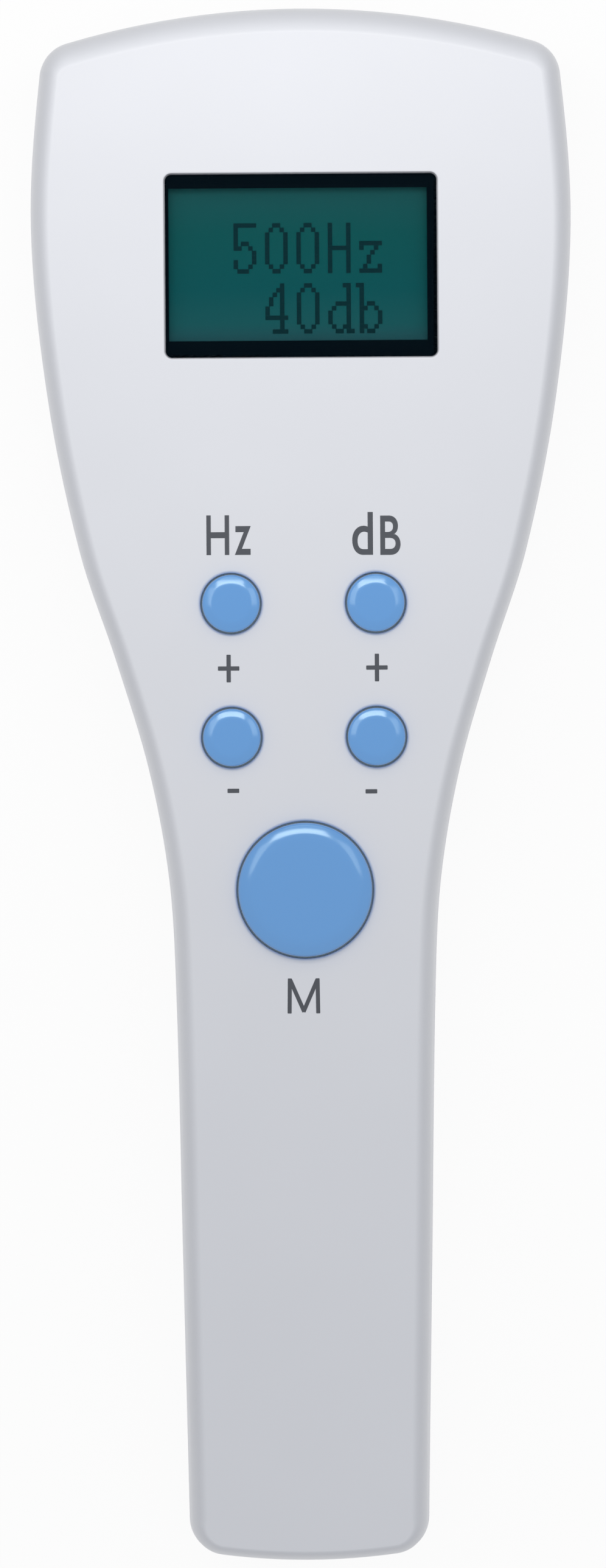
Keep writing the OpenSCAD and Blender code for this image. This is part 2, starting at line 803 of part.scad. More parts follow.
// A round tube along points, as a closed skin. up is any direction that the path never runs along.
module tube(path, r, sides, up) {
    n = len(path);
    points = [for (i = [0:n - 1])
        let (t = unit(path[min(i + 1, n - 1)] - path[max(i - 1, 0)]),
             u = cross_unit(t, up), v = cross_unit(u, t))
        for (k = [0:sides - 1]) let (a = 360 * k / sides) path[i] + r * (cos(a) * u + sin(a) * v)];
    walls = [for (i = [0:n - 2], k = [0:sides - 1]) let (m = (k + 1) % sides, a = i * sides, b = a + sides)
        each [[a + k, a + m, b + m], [a + k, b + m, b + k]]];
    ends = [[for (k = [sides - 1:-1:0]) k], [for (k = [0:sides - 1]) (n - 1) * sides + k]];
    polyhedron(points, concat(walls, ends));
}

spring_h = 3.7;
spring_wire = 0.28;
spring_turns = 3;
spring_steps = 16;

// Conical coil along +Y from its wide end, as points.
spring_path = [for (i = [0:spring_turns * spring_steps])
    let (t = i / (spring_turns * spring_steps), a = 360 * spring_turns * t, r = 3.7 - 1.3 * t)
    [r * cos(a), spring_wire + (spring_h - 2 * spring_wire - 0.04) * t + 0.02, r * sin(a)]];
spring_gap = min([for (i = [0:len(spring_path) - 1], j = [i + spring_steps / 2:1:len(spring_path) - 1])
    norm(spring_path[i] - spring_path[j])]) - 2 * spring_wire;
echo(least_gap_in_spring = spring_gap);

module battery_spring(x, y, turned) {
    color("silver") translate([x, y, cell_z]) rotate([turned ? 180 : 0, 0, 0])
        tube(spring_path, spring_wire, 6, [0, 1, 0]);
}

module spring_left() {
    battery_spring(-cell_x, bay_low_y + plate_t, false);
}

module spring_right() {
    battery_spring(cell_x, bay_top_y - plate_t, true);
}

wire_r = 0.55;

// Last bend of a wire that comes along Y in direction dir and meets the main board from below.
wire_bend = 1.6;
function into_board(x, y, dir, from = 0) = concat(
    [for (a = [from:22.5:90]) [x, y - dir * wire_bend * (1 - sin(a)), board_low - 1 - wire_bend * cos(a)]],
    [[x, y, board_low]]);

contact_tab_z = bay_roof_z + bay_wall + 0.7;
battery_wire = concat([for (d = [0.05, 2]) [cell_x, bay_top_y + d, contact_tab_z]],
    into_board(cell_x, bay_top_y + 12, 1));
speaker_wire = concat([[3, speaker_y - 14.6, 8.2], [3.5, speaker_y - 16.6, 9.3]],
    into_board(4.5, speaker_y - 23, -1, 45));

// A wire on the side that side_sign gives: 1 right, -1 left, 0 on the middle line.
module wire(route, side_sign) {
    tube([for (p = route) [side_sign * p[0], p[1], p[2]]], wire_r, 6, [1, 0, 0]);
}

module battery_leads() {
    for (s = [-1, 1]) color(s < 0 ? "crimson" : "black") wire(battery_wire, s);
}

module speaker_leads() {
    for (s = [-1, 1]) color(s < 0 ? "crimson" : "black") wire(speaker_wire, s);
}

jack_wire_z = jack_low + 1;
jack_wire = concat([for (d = [0, 4]) [1.6, jack_back_y + d, jack_wire_z]],
    [[1.6, -60, jack_wire_z + 0.2], [1.6, -38, jack_wire_z - 1]], into_board(1.6, -23.5, 1));

// Three wires from the socket's board over the bay's roof to the main board.
module jack_leads() {
    for (s = [-1:1]) color("gray") wire(jack_wire, s);
}

front_shell();
rear_shell();
battery_door();
case_screws();
display_lens();
display_mask();
lcd_bezel();
lcd_panel();
lcd_backlight();
lcd_board();
lcd_header();
header_pins();
main_board();
board_screws();
microcontroller();
audio_amplifier();
crystal();
capacitors();
resistors();
dust_mesh();
speaker_gasket();
speaker_basket();
speaker_cone();
voice_coil();
speaker_magnet();
speaker_clamp();
speaker_screws();
speaker_leads();
headphone_jack();
jack_board();
jack_screws();
jack_leads();
battery_left();
battery_right();
contact_positive();
contact_negative();
contact_link();
spring_left();
spring_right();
battery_leads();
for (k = keys) {
    key_cap(k);
    plunger(k);
    dome(k);
    switch_body(k);
}
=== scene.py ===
"""Looks of the handheld audiometer: fine shells and keys, printed marks, materials, light and camera."""
import json
import math

import bmesh
import bpy
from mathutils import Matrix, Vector

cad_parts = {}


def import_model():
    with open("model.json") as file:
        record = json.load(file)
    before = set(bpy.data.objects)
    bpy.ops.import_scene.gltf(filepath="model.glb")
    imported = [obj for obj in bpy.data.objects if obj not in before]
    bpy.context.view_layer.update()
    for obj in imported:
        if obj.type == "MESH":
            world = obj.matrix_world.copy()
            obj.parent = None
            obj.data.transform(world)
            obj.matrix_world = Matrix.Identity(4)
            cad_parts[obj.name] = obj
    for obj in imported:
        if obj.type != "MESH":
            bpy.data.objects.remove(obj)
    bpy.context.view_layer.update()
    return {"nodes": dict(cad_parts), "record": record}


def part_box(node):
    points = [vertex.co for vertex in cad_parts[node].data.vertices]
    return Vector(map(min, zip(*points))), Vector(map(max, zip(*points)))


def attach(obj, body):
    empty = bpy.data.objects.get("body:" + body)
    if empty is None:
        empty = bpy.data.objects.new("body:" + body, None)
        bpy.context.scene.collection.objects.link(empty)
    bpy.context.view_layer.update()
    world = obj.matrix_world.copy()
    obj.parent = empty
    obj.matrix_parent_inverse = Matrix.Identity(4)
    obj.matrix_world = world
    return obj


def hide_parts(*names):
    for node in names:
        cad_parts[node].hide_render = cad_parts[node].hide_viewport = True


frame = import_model()

# Sizes are in millimetres and are scaled once, where a mesh is made.
MM = 0.001


def cad_box(node):
    """Lowest and highest corner of a CAD node, in millimetres."""
    low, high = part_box(node)
    return low / MM, high / MM


# ---- sizes -----------------------------------------------------------------------------------
shell_low, shell_high = cad_box("front_shell")
lens_low, lens_high = cad_box("display_lens")

FRONT_Z = shell_high.z
SEAM_Z = cad_box("rear_shell")[1].z
CROWN_Y = shell_high.y
TAIL_Y = shell_low.y
# The side curve swells this much past its widest station.
HEAD_SWELL = 0.018
HEAD_HALF = shell_high.x - HEAD_SWELL
GRIP_HALF = 16.75
TAIL_HALF = 15.45
WALL = 2.2
CEILING_Z = FRONT_Z - WALL

CROWN_RADIUS = 107
CROWN_CORNER = 4.8
CROWN_SLOPE = -0.11
TAIL_RADIUS = 85
TAIL_CORNER = 4.8
TAIL_SLOPE = 0.018

# Along the side: the middle and the end of the grip's taper, and the share of the flare reached at each y.
FLARE = HEAD_HALF - GRIP_HALF
TAPER_MIDDLE_Y, GRIP_END_Y = -60, -26
FLARE_AT = [(-12, 0.045), (2, 0.184), (16, 0.412), (30, 0.666), (50, 0.889), (72, 1)]
CROWN_END_HALF = HEAD_HALF - 0.07 * FLARE

FRONT_EDGE, FRONT_EDGE_H, INNER_FRONT_EDGE = 2.5, 6, 1.3
BACK_EDGE, BACK_EDGE_H, INNER_BACK_EDGE = 3.2, 6.5, 1.6
INNER_EDGE_H = 4
# Width of the round edge at the middle of the crown and of the tail, where the sides have 1.
CROWN_SHARE, TAIL_SHARE = 1.4, 0.6
DRAFT = 0.3
GROOVE = 0.25
TONGUE_OUT, TONGUE_H, TONGUE_GAP = 1, 1.4, 0.1

# Steps along the outline's arcs and between its stations, over the edges, and round holes and turned pieces.
CROWN_ARC_STEPS, CORNER_STEPS, TAIL_ARC_STEPS, STATION_STEPS = 12, 14, 8, 9
SKIN_STEPS = 16
INNER_STEPS = 5
ROUND_STEPS, HOLE_STEPS, SMALL_HOLE_STEPS = 96, 40, 24
KEY_STEPS = 128

# Small roundings that a moulded edge has.
KEY_HOLE_EDGE = 0.4
WINDOW_EDGE = 0.2
GRILLE_EDGE = 0.3
SCREW_EDGE = 0.25
JACK_EDGE = 0.25
DOOR_EDGE = 0.2
LENS_EDGE = 0.12

# A cutter runs this far past what it cuts.
PAST = 1

# Points closer than this are merged.
MERGE = 0.002

# ---- solids: (points, faces) ---------------------------------------------------------------


def loft(rings):
    """Closed solid over rings of equal length, with a flat cap at each end."""
    n = len(rings[0])
    points = [p for ring in rings for p in ring]
    faces = [(k * n + i, k * n + (i + 1) % n, (k + 1) * n + (i + 1) % n, (k + 1) * n + i)
             for k in range(len(rings) - 1) for i in range(n)]
    faces.append(tuple(range(n)))
    faces.append(tuple(range((len(rings) - 1) * n, len(rings) * n)))
    return points, faces


def circle(x, y, z, r, steps=ROUND_STEPS):
    """Ring of points round a vertical axis."""
    return [(x + r * math.cos(2 * math.pi * k / steps), y + r * math.sin(2 * math.pi * k / steps), z)
            for k in range(steps)]


def turned(x, y, profile, steps=ROUND_STEPS):
    """Solid turned round a vertical axis from (radius, z) pairs."""
    return loft([circle(x, y, z, r, steps) for r, z in profile])


def rounded_rectangle(x, y, z, w, h, r, steps=8):
    """Ring of points with four round corners."""
    ring = []
    for quarter, (sx, sy) in enumerate([(1, 1), (-1, 1), (-1, -1), (1, -1)]):
        for k in range(steps + 1):
            a = math.pi / 2 * (quarter + k / steps)
            ring.append((x + sx * (w / 2 - r) + r * math.cos(a), y + sy * (h / 2 - r) + r * math.sin(a), z))
    return ring


def block(low, high):
    """Box between two corners."""
    ring = [(low[0], low[1]), (high[0], low[1]), (high[0], high[1]), (low[0], high[1])]
    return loft([[(x, y, z) for x, y in ring] for z in (low[2], high[2])])


def fillet(r, face_z, size, direction, steps=6):
    """(radius, z) pairs of a hole's mouth that widens smoothly into a face.

    direction is 1 or -1, and points out of the face.
    """
    pairs = []
    for k in range(steps + 1):
        a = math.pi / 2 * k / steps
        pairs.append((r + size * (1 - math.cos(a)), face_z - direction * size * (1 - math.sin(a))))
    return pairs


def hole(x, y, r, from_z, face_z, edge, direction, steps=HOLE_STEPS):
    """Cutter of a round hole with a rounded mouth at face_z."""
    mouth = fillet(r, face_z, edge, direction)
    profile = [(r, from_z)] + mouth + [(r + edge, face_z + direction * PAST)]
    return turned(x, y, profile, steps)


def rods(places, r, low_z, high_z, steps=HOLE_STEPS):
    """Upright rods of one size."""
    return [turned(x, y, [(r, low_z), (r, high_z)], steps) for x, y in places]


# ---- objects ---------------------------------------------------------------------------------


def new_object(name, solids):
    """Mesh object from one or more closed solids given in millimetres."""
    points = []
    faces = []
    for solid_points, solid_faces in solids:
        start = len(points)
        points += [tuple(c * MM for c in p) for p in solid_points]
        faces += [tuple(i + start for i in f) for f in solid_faces]
    mesh = bpy.data.meshes.new(name)
    mesh.from_pydata(points, [], faces)
    bm = bmesh.new()
    bm.from_mesh(mesh)
    bmesh.ops.recalc_face_normals(bm, faces=bm.faces)
    bm.to_mesh(mesh)
    bm.free()
    obj = bpy.data.objects.new(name, mesh)
    bpy.context.scene.collection.objects.link(obj)
    return obj


def apply_modifiers(obj):
    """Replaces the object's mesh by what its modifiers make of it."""
    graph = bpy.context.evaluated_depsgraph_get()
    mesh = bpy.data.meshes.new_from_object(obj.evaluated_get(graph))
    obj.modifiers.clear()
    old = obj.data
    obj.data = mesh
    bpy.data.meshes.remove(old)


def combine(obj, solids, operation):
    """Adds (UNION), cuts (DIFFERENCE) or keeps (INTERSECT) solids that don't touch each other."""
    tool = new_object("tool", solids)
    modifier = obj.modifiers.new("combine", "BOOLEAN")
    modifier.operation = operation
    modifier.solver = "EXACT"
    modifier.object = tool
    apply_modifiers(obj)
    mesh = tool.data
    bpy.data.objects.remove(tool)
    bpy.data.meshes.remove(mesh)


def finish_surface(obj, sharp_degrees=32):
    """Smooth shading that stays crisp at corners."""
    bm = bmesh.new()
    bm.from_mesh(obj.data)
    bmesh.ops.remove_doubles(bm, verts=bm.verts, dist=MERGE * MM)
    bmesh.ops.dissolve_degenerate(bm, edges=bm.edges, dist=MERGE * MM)
    bmesh.ops.recalc_face_normals(bm, faces=bm.faces)
    bm.to_mesh(obj.data)
    bm.free()
    obj.data.shade_smooth()
    obj.data.set_sharp_from_angle(angle=math.radians(sharp_degrees))
    normals = obj.modifiers.new("normals", "WEIGHTED_NORMAL")
    normals.keep_sharp = True
    return obj


def dress(obj, body, material, slot, *nodes):
    """Gives a piece its body and its finish, and hides the CAD nodes that it stands for."""
    obj.data.materials.clear()
    obj.data.materials.append(material)
    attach(obj, body)
    if nodes:
        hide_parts(*nodes)
    return obj


# ---- outline of the casing -------------------------------------------------------------------


def side_normal(slope):
    """Outward normal of a side whose half-width grows by slope for each millimetre along y."""
    length = math.hypot(1, slope)
    return 1 / length, -slope / length


def corner_centre(half, slope, r, end_r, end_y, sign):
    """Centre of a corner arc that touches the side and the long end arc."""
    x = half - r * side_normal(slope)[0]
    return x, end_y - sign * end_r + sign * math.sqrt((end_r - r) ** 2 - x * x)


def arc(centre, r, start, end, steps, first=0):
    """Points (x, y, normal x, normal y) on an arc, angles in radians."""
    points = []
    for k in range(first, steps + 1):
        a = start + (end - start) * k / steps
        n = (math.cos(a), math.sin(a))
        points.append((centre[0] + r * n[0], centre[1] + r * n[1], *n))
    return points


def casing_outline():
    """Points (x, y, normal x, normal y) round the casing, clockwise from the middle of the crown."""
    crown_c = corner_centre(CROWN_END_HALF, CROWN_SLOPE, CROWN_CORNER, CROWN_RADIUS, CROWN_Y, 1)
    tail_c = corner_centre(TAIL_HALF, TAIL_SLOPE, TAIL_CORNER, TAIL_RADIUS, TAIL_Y, -1)
    crown_end_y = crown_c[1] + CROWN_CORNER * side_normal(CROWN_SLOPE)[1]
    tail_end_y = tail_c[1] + TAIL_CORNER * side_normal(TAIL_SLOPE)[1]
    middle_half = (TAIL_HALF + GRIP_HALF) / 2
    stations = [(tail_end_y, TAIL_HALF), (TAPER_MIDDLE_Y, middle_half), (GRIP_END_Y, GRIP_HALF)]
    stations += [(y, GRIP_HALF + part * FLARE) for y, part in FLARE_AT]
    stations.append((crown_end_y, CROWN_END_HALF))
    last = len(stations) - 1

    def slope_at(i):
        if i == 0:
            return TAIL_SLOPE
        if i == last:
            return CROWN_SLOPE
        (y0, w0), (y1, w1) = stations[i - 1], stations[i + 1]
        return (w1 - w0) / (y1 - y0)

    def side_at(i, t):
        """Cubic between stations i and i + 1: half-width and slope."""
        (y0, a), (y1, b) = stations[i], stations[i + 1]
        h = y1 - y0
        m, n = h * slope_at(i), h * slope_at(i + 1)
        half = (2 * t**3 - 3 * t**2 + 1) * a + (t**3 - 2 * t**2 + t) * m
        half += (3 * t**2 - 2 * t**3) * b + (t**3 - t**2) * n
        slope = (6 * t**2 - 6 * t) * (a - b) + (3 * t**2 - 4 * t + 1) * m + (3 * t**2 - 2 * t) * n
        return half, slope / h

    side = []
    for i in range(last - 1, -1, -1):
        for k in range(STATION_STEPS - 1, -1, -1):
            if i + k > 0:
                t = k / STATION_STEPS
                half, slope = side_at(i, t)
                y = stations[i][0] + (stations[i + 1][0] - stations[i][0]) * t
                side.append((half, y, *side_normal(slope)))

    crown_arc_c = (0, CROWN_Y - CROWN_RADIUS)
    tail_arc_c = (0, TAIL_Y + TAIL_RADIUS)
    crown_a = math.atan2(crown_c[1] - crown_arc_c[1], crown_c[0])
    tail_a = math.atan2(tail_c[1] - tail_arc_c[1], tail_c[0])
    right = arc(crown_arc_c, CROWN_RADIUS, math.pi / 2, crown_a, CROWN_ARC_STEPS)
    right += arc(crown_c, CROWN_CORNER, crown_a, math.atan(-CROWN_SLOPE), CORNER_STEPS, 1)
    right += side
    right += arc(tail_c, TAIL_CORNER, math.atan(-TAIL_SLOPE), tail_a, CORNER_STEPS)
    right += arc(tail_arc_c, TAIL_RADIUS, tail_a, -math.pi / 2, TAIL_ARC_STEPS, 1)
    left = [(-x, y, -nx, ny) for x, y, nx, ny in reversed(right[1:-1])]
    return right + left


OUTLINE = casing_outline()


def ring(inset, z, extra=0):
    """The outline moved inwards. The inset's share grows towards the crown and shrinks towards the tail."""
    points = []
    for x, y, nx, ny in OUTLINE:
        share = 1 + (CROWN_SHARE - 1) * ny if ny > 0 else 1 + (1 - TAIL_SHARE) * ny
        d = inset * share + extra
        points.append((x - d * nx, y - d * ny, z))
    return points


def edge_profile(face_z, direction, inset, height, steps):
    """(inset, z) pairs from the flat face to the side."""
    pairs = []
    for k in range(steps, -1, -1):
        a = math.pi / 2 * k / steps
        out = DRAFT + (inset - DRAFT) * (1 - math.cos(a))
        pairs.append((out, face_z - direction * height * (1 - math.sin(a))))
    return pairs


FRONT_PROFILE = edge_profile(FRONT_Z, 1, FRONT_EDGE, FRONT_EDGE_H, SKIN_STEPS)
BACK_PROFILE = edge_profile(0, -1, BACK_EDGE, BACK_EDGE_H, SKIN_STEPS)


def rings_of(profile, extra=0):
    """Rings of the outline, one for each (inset, z) pair."""
    return [ring(inset, z, extra) for inset, z in profile]


def front_skin():
    """Front half of the casing, with a tongue inside its rim."""
    inner = edge_profile(CEILING_Z, 1, INNER_FRONT_EDGE, INNER_EDGE_H, INNER_STEPS)
    tongue_z = SEAM_Z - TONGUE_H
    rings = rings_of(FRONT_PROFILE)
    rings += [ring(0, SEAM_Z + GROOVE), ring(0, SEAM_Z, GROOVE), ring(0, SEAM_Z, TONGUE_OUT)]
    rings += [ring(0, tongue_z, TONGUE_OUT), ring(0, tongue_z, WALL)]
    rings += rings_of(reversed(inner), WALL)
    return loft(rings)


def back_skin():
    """Rear half of the casing, with a rebate for the tongue."""
    inner = edge_profile(WALL, -1, INNER_BACK_EDGE, INNER_EDGE_H, INNER_STEPS)
    rebate = TONGUE_OUT - TONGUE_GAP
    rebate_z = SEAM_Z - TONGUE_H - TONGUE_GAP
    rings = rings_of(BACK_PROFILE)
    rings += [ring(0, SEAM_Z - GROOVE), ring(0, SEAM_Z, GROOVE), ring(0, SEAM_Z, rebate)]
    rings += [ring(0, rebate_z, rebate), ring(0, rebate_z, WALL)]
    rings += rings_of(reversed(inner), WALL)
    return loft(rings)


# ---- places ----------------------------------------------------------------------------------
# Places on the right side of screws and posts, which the left side mirrors.
CASE_SCREWS = [(28, 84), (11.2, -28.4)]
BOARD_POSTS = [(24.3, 76), (24.3, 41), (10.6, -21.5)]
JACK_POSTS = [(7, -89)]
BOSS_R, LOWER_BOSS_R, POST_R, JACK_POST_R, SPEAKER_POST_R = 3, 3.2, 2.4, 2, 2.2
BOSS_GAP = 0.1
ROOT_Z, FOOT_Z = CEILING_Z + 0.5, 1
BOARD_Z = FRONT_Z - 10
# Radius and end of the screws' pilot holes.
CASE_PILOT_R, CASE_PILOT_END = 1.27, 22
BOARD_PILOT_R, BOARD_PILOT_END = 0.92, 23.5
JACK_PILOT_R, JACK_PILOT_END = 0.82, 21
SPEAKER_PILOT_R = 0.82
# The screw heads' sinks in the back face.
SINK_R, SINK_Z, SHANK_R = 2.7, 3, 1.45

WINDOW_X, WINDOW_Y = (lens_low.x + lens_high.x) / 2, (lens_low.y + lens_high.y) / 2
LENS_W, LENS_H = lens_high.x - lens_low.x, lens_high.y - lens_low.y
LENS_GAP = 0.05
WINDOW_CORNER, LENS_CORNER = 1, 0.95
MASK_T = 0.2
LEDGE_Z = lens_low.z - MASK_T
LIT_W, LIT_H = 33.2, 19.6
LIT_X, LIT_Y = WINDOW_X - 0.4, WINDOW_Y + 0.15
LEDGE_HOLE_W, LEDGE_HOLE_H, LEDGE_HOLE_CORNER, LEDGE_OVERLAP = LIT_W + 0.6, LIT_H + 0.8, 0.5, 0.1
# The frame behind the window that holds the display.
FRAME_HALF_W, FRAME_HALF_H, FRAME_WALL, FRAME_DEPTH = 19.3, 13.8, 1.1, 2.2

KEYS = ["hz_up", "hz_down", "db_up", "db_down", "main"]
KEY_GAP = 0.22
KEY_FLANGE, KEY_FLANGE_T, KEY_FLANGE_GAP = 1.1, 1, 0.05
KEY_STEM_PER_R = 0.42
BEVEL_DEGREES = 18
# The bevel is flatter at its inner edge and steeper at its outer one, by this many degrees for each
# millimetre of radius over that of a key with a plain bevel.
BEVEL_SPREAD_PER_R, PLAIN_BEVEL_R = 1.1, 1.6
BEVEL_PER_R, BEVEL_MORE = 0.17, 0.55
CROWN_PER_R, SHOULDER_PER_RISE = 0.02, 0.3
KNEE_BLEND = 0.35
SHOULDER_STEPS, BEVEL_STEPS, KNEE_STEPS, CROWN_STEPS = 10, 8, 10, 12

JACK_Z, JACK_LOW_Z, JACK_BACK_Y = 18.5, 15.7, -85
JACK_HOLE_R, JACK_MOUTH_Y = 3.1, TAIL_Y + 0.1

SPEAKER_Y = 60
SPEAKER_R = 18
SPEAKER_RIM, SPEAKER_GAP = 1.2, 0.2
GRILLE_R, GRILLE_DEPTH = 15.2, 0.6
GRILLE_PITCH, GRILLE_HOLE_R, GRILLE_RINGS, GRILLE_DEGREES = 3.8, 1.1, 3, 30
SPEAKER_POST_TURN = 21.2
SPEAKER_POST_DEGREES = (30, 150, 270)
SPEAKER_REST_Z = WALL + 1.1
SPEAKER_RIM_Z, SPEAKER_POST_Z = SPEAKER_REST_Z + 0.4, SPEAKER_REST_Z + 1

BAY_TOP_Y, BAY_LOW_Y, BAY_HALF, BAY_WALL, BAY_ROOF_Z = -34, -83, 10.8, 1.2, 12.7
# Slots in the bay's top wall for the tabs of the contact plates.
CELL_X, CELL_Z = 5.35, 7.3
TAB_HALF, TAB_LOW, TAB_HIGH = 1.7, 0.6, 0.2
DOOR_TOP_Y = cad_box("battery_door")[1].y
DOOR_HALF = 11.3
DOOR_T = 1.7
RAIL, RAIL_Z = 0.9, 0.9
DOOR_GAP = 0.15
DOOR_CUT_Y = TAIL_Y - 3
# Floor that the door slides in: its top, its inset from the outline and its reach past the door.
LEDGE_TOP_Z, LEDGE_INSET, LEDGE_PAST = 3.1, 2.3, 2
# Thumb grooves of the door: how many, how far apart, and how far the first lies under the door's top. Then
# the first one's half length, and how much shorter each next one is.
THUMB_GROOVES, THUMB_PITCH, THUMB_FIRST = 6, 2, 5.5
THUMB_HALF, THUMB_SHORTER = 6, 0.4
# Middle of a groove's round ends, measured back from its half length.
THUMB_END = 0.5
# Depth and half width down a thumb groove.
THUMB_SECTION = [(-1, 0.62), (0, 0.62), (0.12, 0.5), (0.38, 0.42), (0.5, 0.26)]
# Share of a groove's half width that its corners round: nearly all, so that its short sides keep a length.
ALL_ROUND = 0.98


def key_place(name):
    """Middle and radius of a key."""
    low, high = cad_box("key_" + name)
    return (low.x + high.x) / 2, (low.y + high.y) / 2, (high.x - low.x) / 2 - KEY_FLANGE


def both_sides(places):
    """The places and their mirror images."""
    return [(sign * x, y) for x, y in places for sign in (-1, 1)]


# ---- materials -------------------------------------------------------------------------------


def linear(r, g, b):
    """Linear colour from 8-bit sRGB."""
    def one(c):
        c /= 255
        return c / 12.92 if c <= 0.04045 else ((c + 0.055) / 1.055) ** 2.4
    return one(r), one(g), one(b), 1


class Material:
    """A Principled material with procedural variation in object space."""

    def __init__(self, name, colour, roughness, **sockets):
        self.data = bpy.data.materials.new(name)
        self.data.use_nodes = True
        self.tree = self.data.node_tree
        self.shader = self.tree.nodes["Principled BSDF"]
        self.colour = colour
        self.set("Base Color", colour)
        self.set("Roughness", roughness)
        for socket, value in sockets.items():
            self.set(socket.replace("_", " "), value)
        coordinates = self.tree.nodes.new("ShaderNodeTexCoord")
        self.place = coordinates.outputs["Object"]

    def set(self, socket, value):
        self.shader.inputs[socket].default_value = value

    def node(self, kind, **inputs):
        made = self.tree.nodes.new(kind)
        for name, value in inputs.items():
            made.inputs[name.replace("_", " ")].default_value = value
        return made

    def link(self, source, target):
        self.tree.links.new(source, target)

    def noise(self, size_mm, detail=3, stretch=(1, 1, 1)):
        """Noise with features of about size_mm. stretch lengthens them along an axis."""
        mapping = self.node("ShaderNodeMapping", Scale=[1 / s for s in stretch])
        self.link(self.place, mapping.inputs["Vector"])
        texture = self.node("ShaderNodeTexNoise", Scale=1 / (size_mm * MM), Detail=detail)
        self.link(mapping.outputs["Vector"], texture.inputs["Vector"])
        return texture.outputs["Fac"]

    def spread(self, source, low, high):
        """Maps a texture's middle range to low..high."""
        node = self.node("ShaderNodeMapRange", From_Min=0.3, From_Max=0.7, To_Min=low, To_Max=high)
        self.link(source, node.inputs["Value"])
        return node.outputs["Result"]

    def vary_colour(self, source, amount):
        """Makes the colour lighter and darker by a share."""
        node = self.node("ShaderNodeHueSaturation", Color=self.colour)
        self.link(self.spread(source, 1 - amount, 1 + amount), node.inputs["Value"])
        self.link(node.outputs["Color"], self.shader.inputs["Base Color"])

    def mix_colour(self, source, other, low=0.0, high=1.0):
        """Blends towards another colour where the source is high."""
        node = self.node("ShaderNodeMix")
        node.data_type = "RGBA"
        node.inputs[6].default_value = self.colour
        node.inputs[7].default_value = other
        self.link(self.spread(source, low, high), node.inputs[0])
        self.link(node.outputs[2], self.shader.inputs["Base Color"])

    def vary_roughness(self, source, low, high):
        self.link(self.spread(source, low, high), self.shader.inputs["Roughness"])

    def bump(self, source, height_mm, strength=1.0):
        node = self.node("ShaderNodeBump", Distance=height_mm * MM, Strength=strength)
        self.link(source, node.inputs["Height"])
        self.link(node.outputs["Normal"], self.shader.inputs["Normal"])


def moulded_plastic(name, colour, roughness, grain_mm=0.35, height_mm=0.001, **sockets):
    """Moulded plastic: faint cloudy colour, slightly uneven gloss and a fine skin."""
    made = Material(name, colour, roughness, **sockets)
    made.vary_colour(made.noise(24, 4), 0.01)
    made.vary_roughness(made.noise(18, 2), roughness - 0.015, roughness + 0.015)
    made.bump(made.noise(grain_mm, 2), height_mm, 0.3)
    return made


def brushed_metal(name, colour, roughness, along=(1, 14, 1)):
    made = Material(name, colour, roughness, Metallic=1.0)
    lines = made.noise(0.25, 4, along)
    made.vary_colour(made.noise(5, 4), 0.05)
    made.vary_roughness(lines, roughness - 0.06, roughness + 0.12)
    made.bump(lines, 0.004, 0.4)
    return made


def board_material():
    """Green solder mask with faint copper tracks under it."""
    made = Material("circuit_board", linear(18, 88, 52), 0.35, Coat_Weight=0.4)
    tracks = made.node("ShaderNodeTexBrick", Scale=260.0, Mortar_Size=0.06, Mortar_Smooth=0.3)
    made.link(made.place, tracks.inputs["Vector"])
    made.mix_colour(tracks.outputs["Fac"], linear(38, 122, 70), 0.0, 0.8)
    made.bump(tracks.outputs["Fac"], 0.02, 0.5)
    made.vary_roughness(made.noise(3, 3), 0.3, 0.42)
    return made


def mesh_fabric():
    """Fine black woven mesh."""
    made = Material("dust_cloth", linear(20, 20, 22), 0.75, Sheen_Weight=0.2)
    heights = []
    for axis in ("X", "Y"):
        wave = made.node("ShaderNodeTexWave", Scale=620.0)
        wave.bands_direction = axis
        made.link(made.place, wave.inputs["Vector"])
        heights.append(wave.outputs["Fac"])
    weave = made.node("ShaderNodeMath")
    weave.operation = "MAXIMUM"
    made.link(heights[0], weave.inputs[0])
    made.link(heights[1], weave.inputs[1])
    made.mix_colour(weave.outputs["Value"], linear(58, 58, 62), 0.0, 1.0)
    made.bump(weave.outputs["Value"], 0.08, 0.8)
    return made


def clear_window():
    """Clear lens: nearly invisible square on, glossy at a slant."""
    made = Material("clear_window", linear(12, 20, 24), 0.04, Specular_IOR_Level=0.3)
    facing = made.node("ShaderNodeLayerWeight", Blend=0.12)
    alpha = made.node("ShaderNodeMapRange", To_Min=0.03, To_Max=0.4)
    made.link(facing.outputs["Fresnel"], alpha.inputs["Value"])
    made.link(alpha.outputs["Result"], made.shader.inputs["Alpha"])
    made.vary_roughness(made.noise(9, 4), 0.03, 0.07)
    return made


def display_glass():
    """Teal display, paler at its upper and lower edges than across its middle."""
    made = Material("display_glass", linear(5, 88, 90), 0.32, Specular_IOR_Level=0.03)
    gradient = made.node("ShaderNodeSeparateXYZ")
    made.link(made.place, gradient.inputs["Vector"])
    lower = made.node("ShaderNodeMapRange", From_Min=(WINDOW_Y + LIT_H / 2) * MM,
                      From_Max=(WINDOW_Y - LIT_H / 2) * MM)
    made.link(gradient.outputs["Y"], lower.inputs["Value"])
    ramp = made.node("ShaderNodeValToRGB")
    stops = ramp.color_ramp.elements
    stops[0].color = linear(25, 88, 90)
    stops[1].color = linear(38, 90, 98)
    stops.new(0.3).color = linear(10, 88, 89)
    stops.new(0.65).color = linear(8, 88, 92)
    stops.new(0.88).color = linear(24, 92, 96)
    made.link(lower.outputs["Result"], ramp.inputs["Fac"])
    made.link(ramp.outputs["Color"], made.shader.inputs["Base Color"])
    made.bump(made.noise(0.6, 2), 0.001, 0.2)
    return made


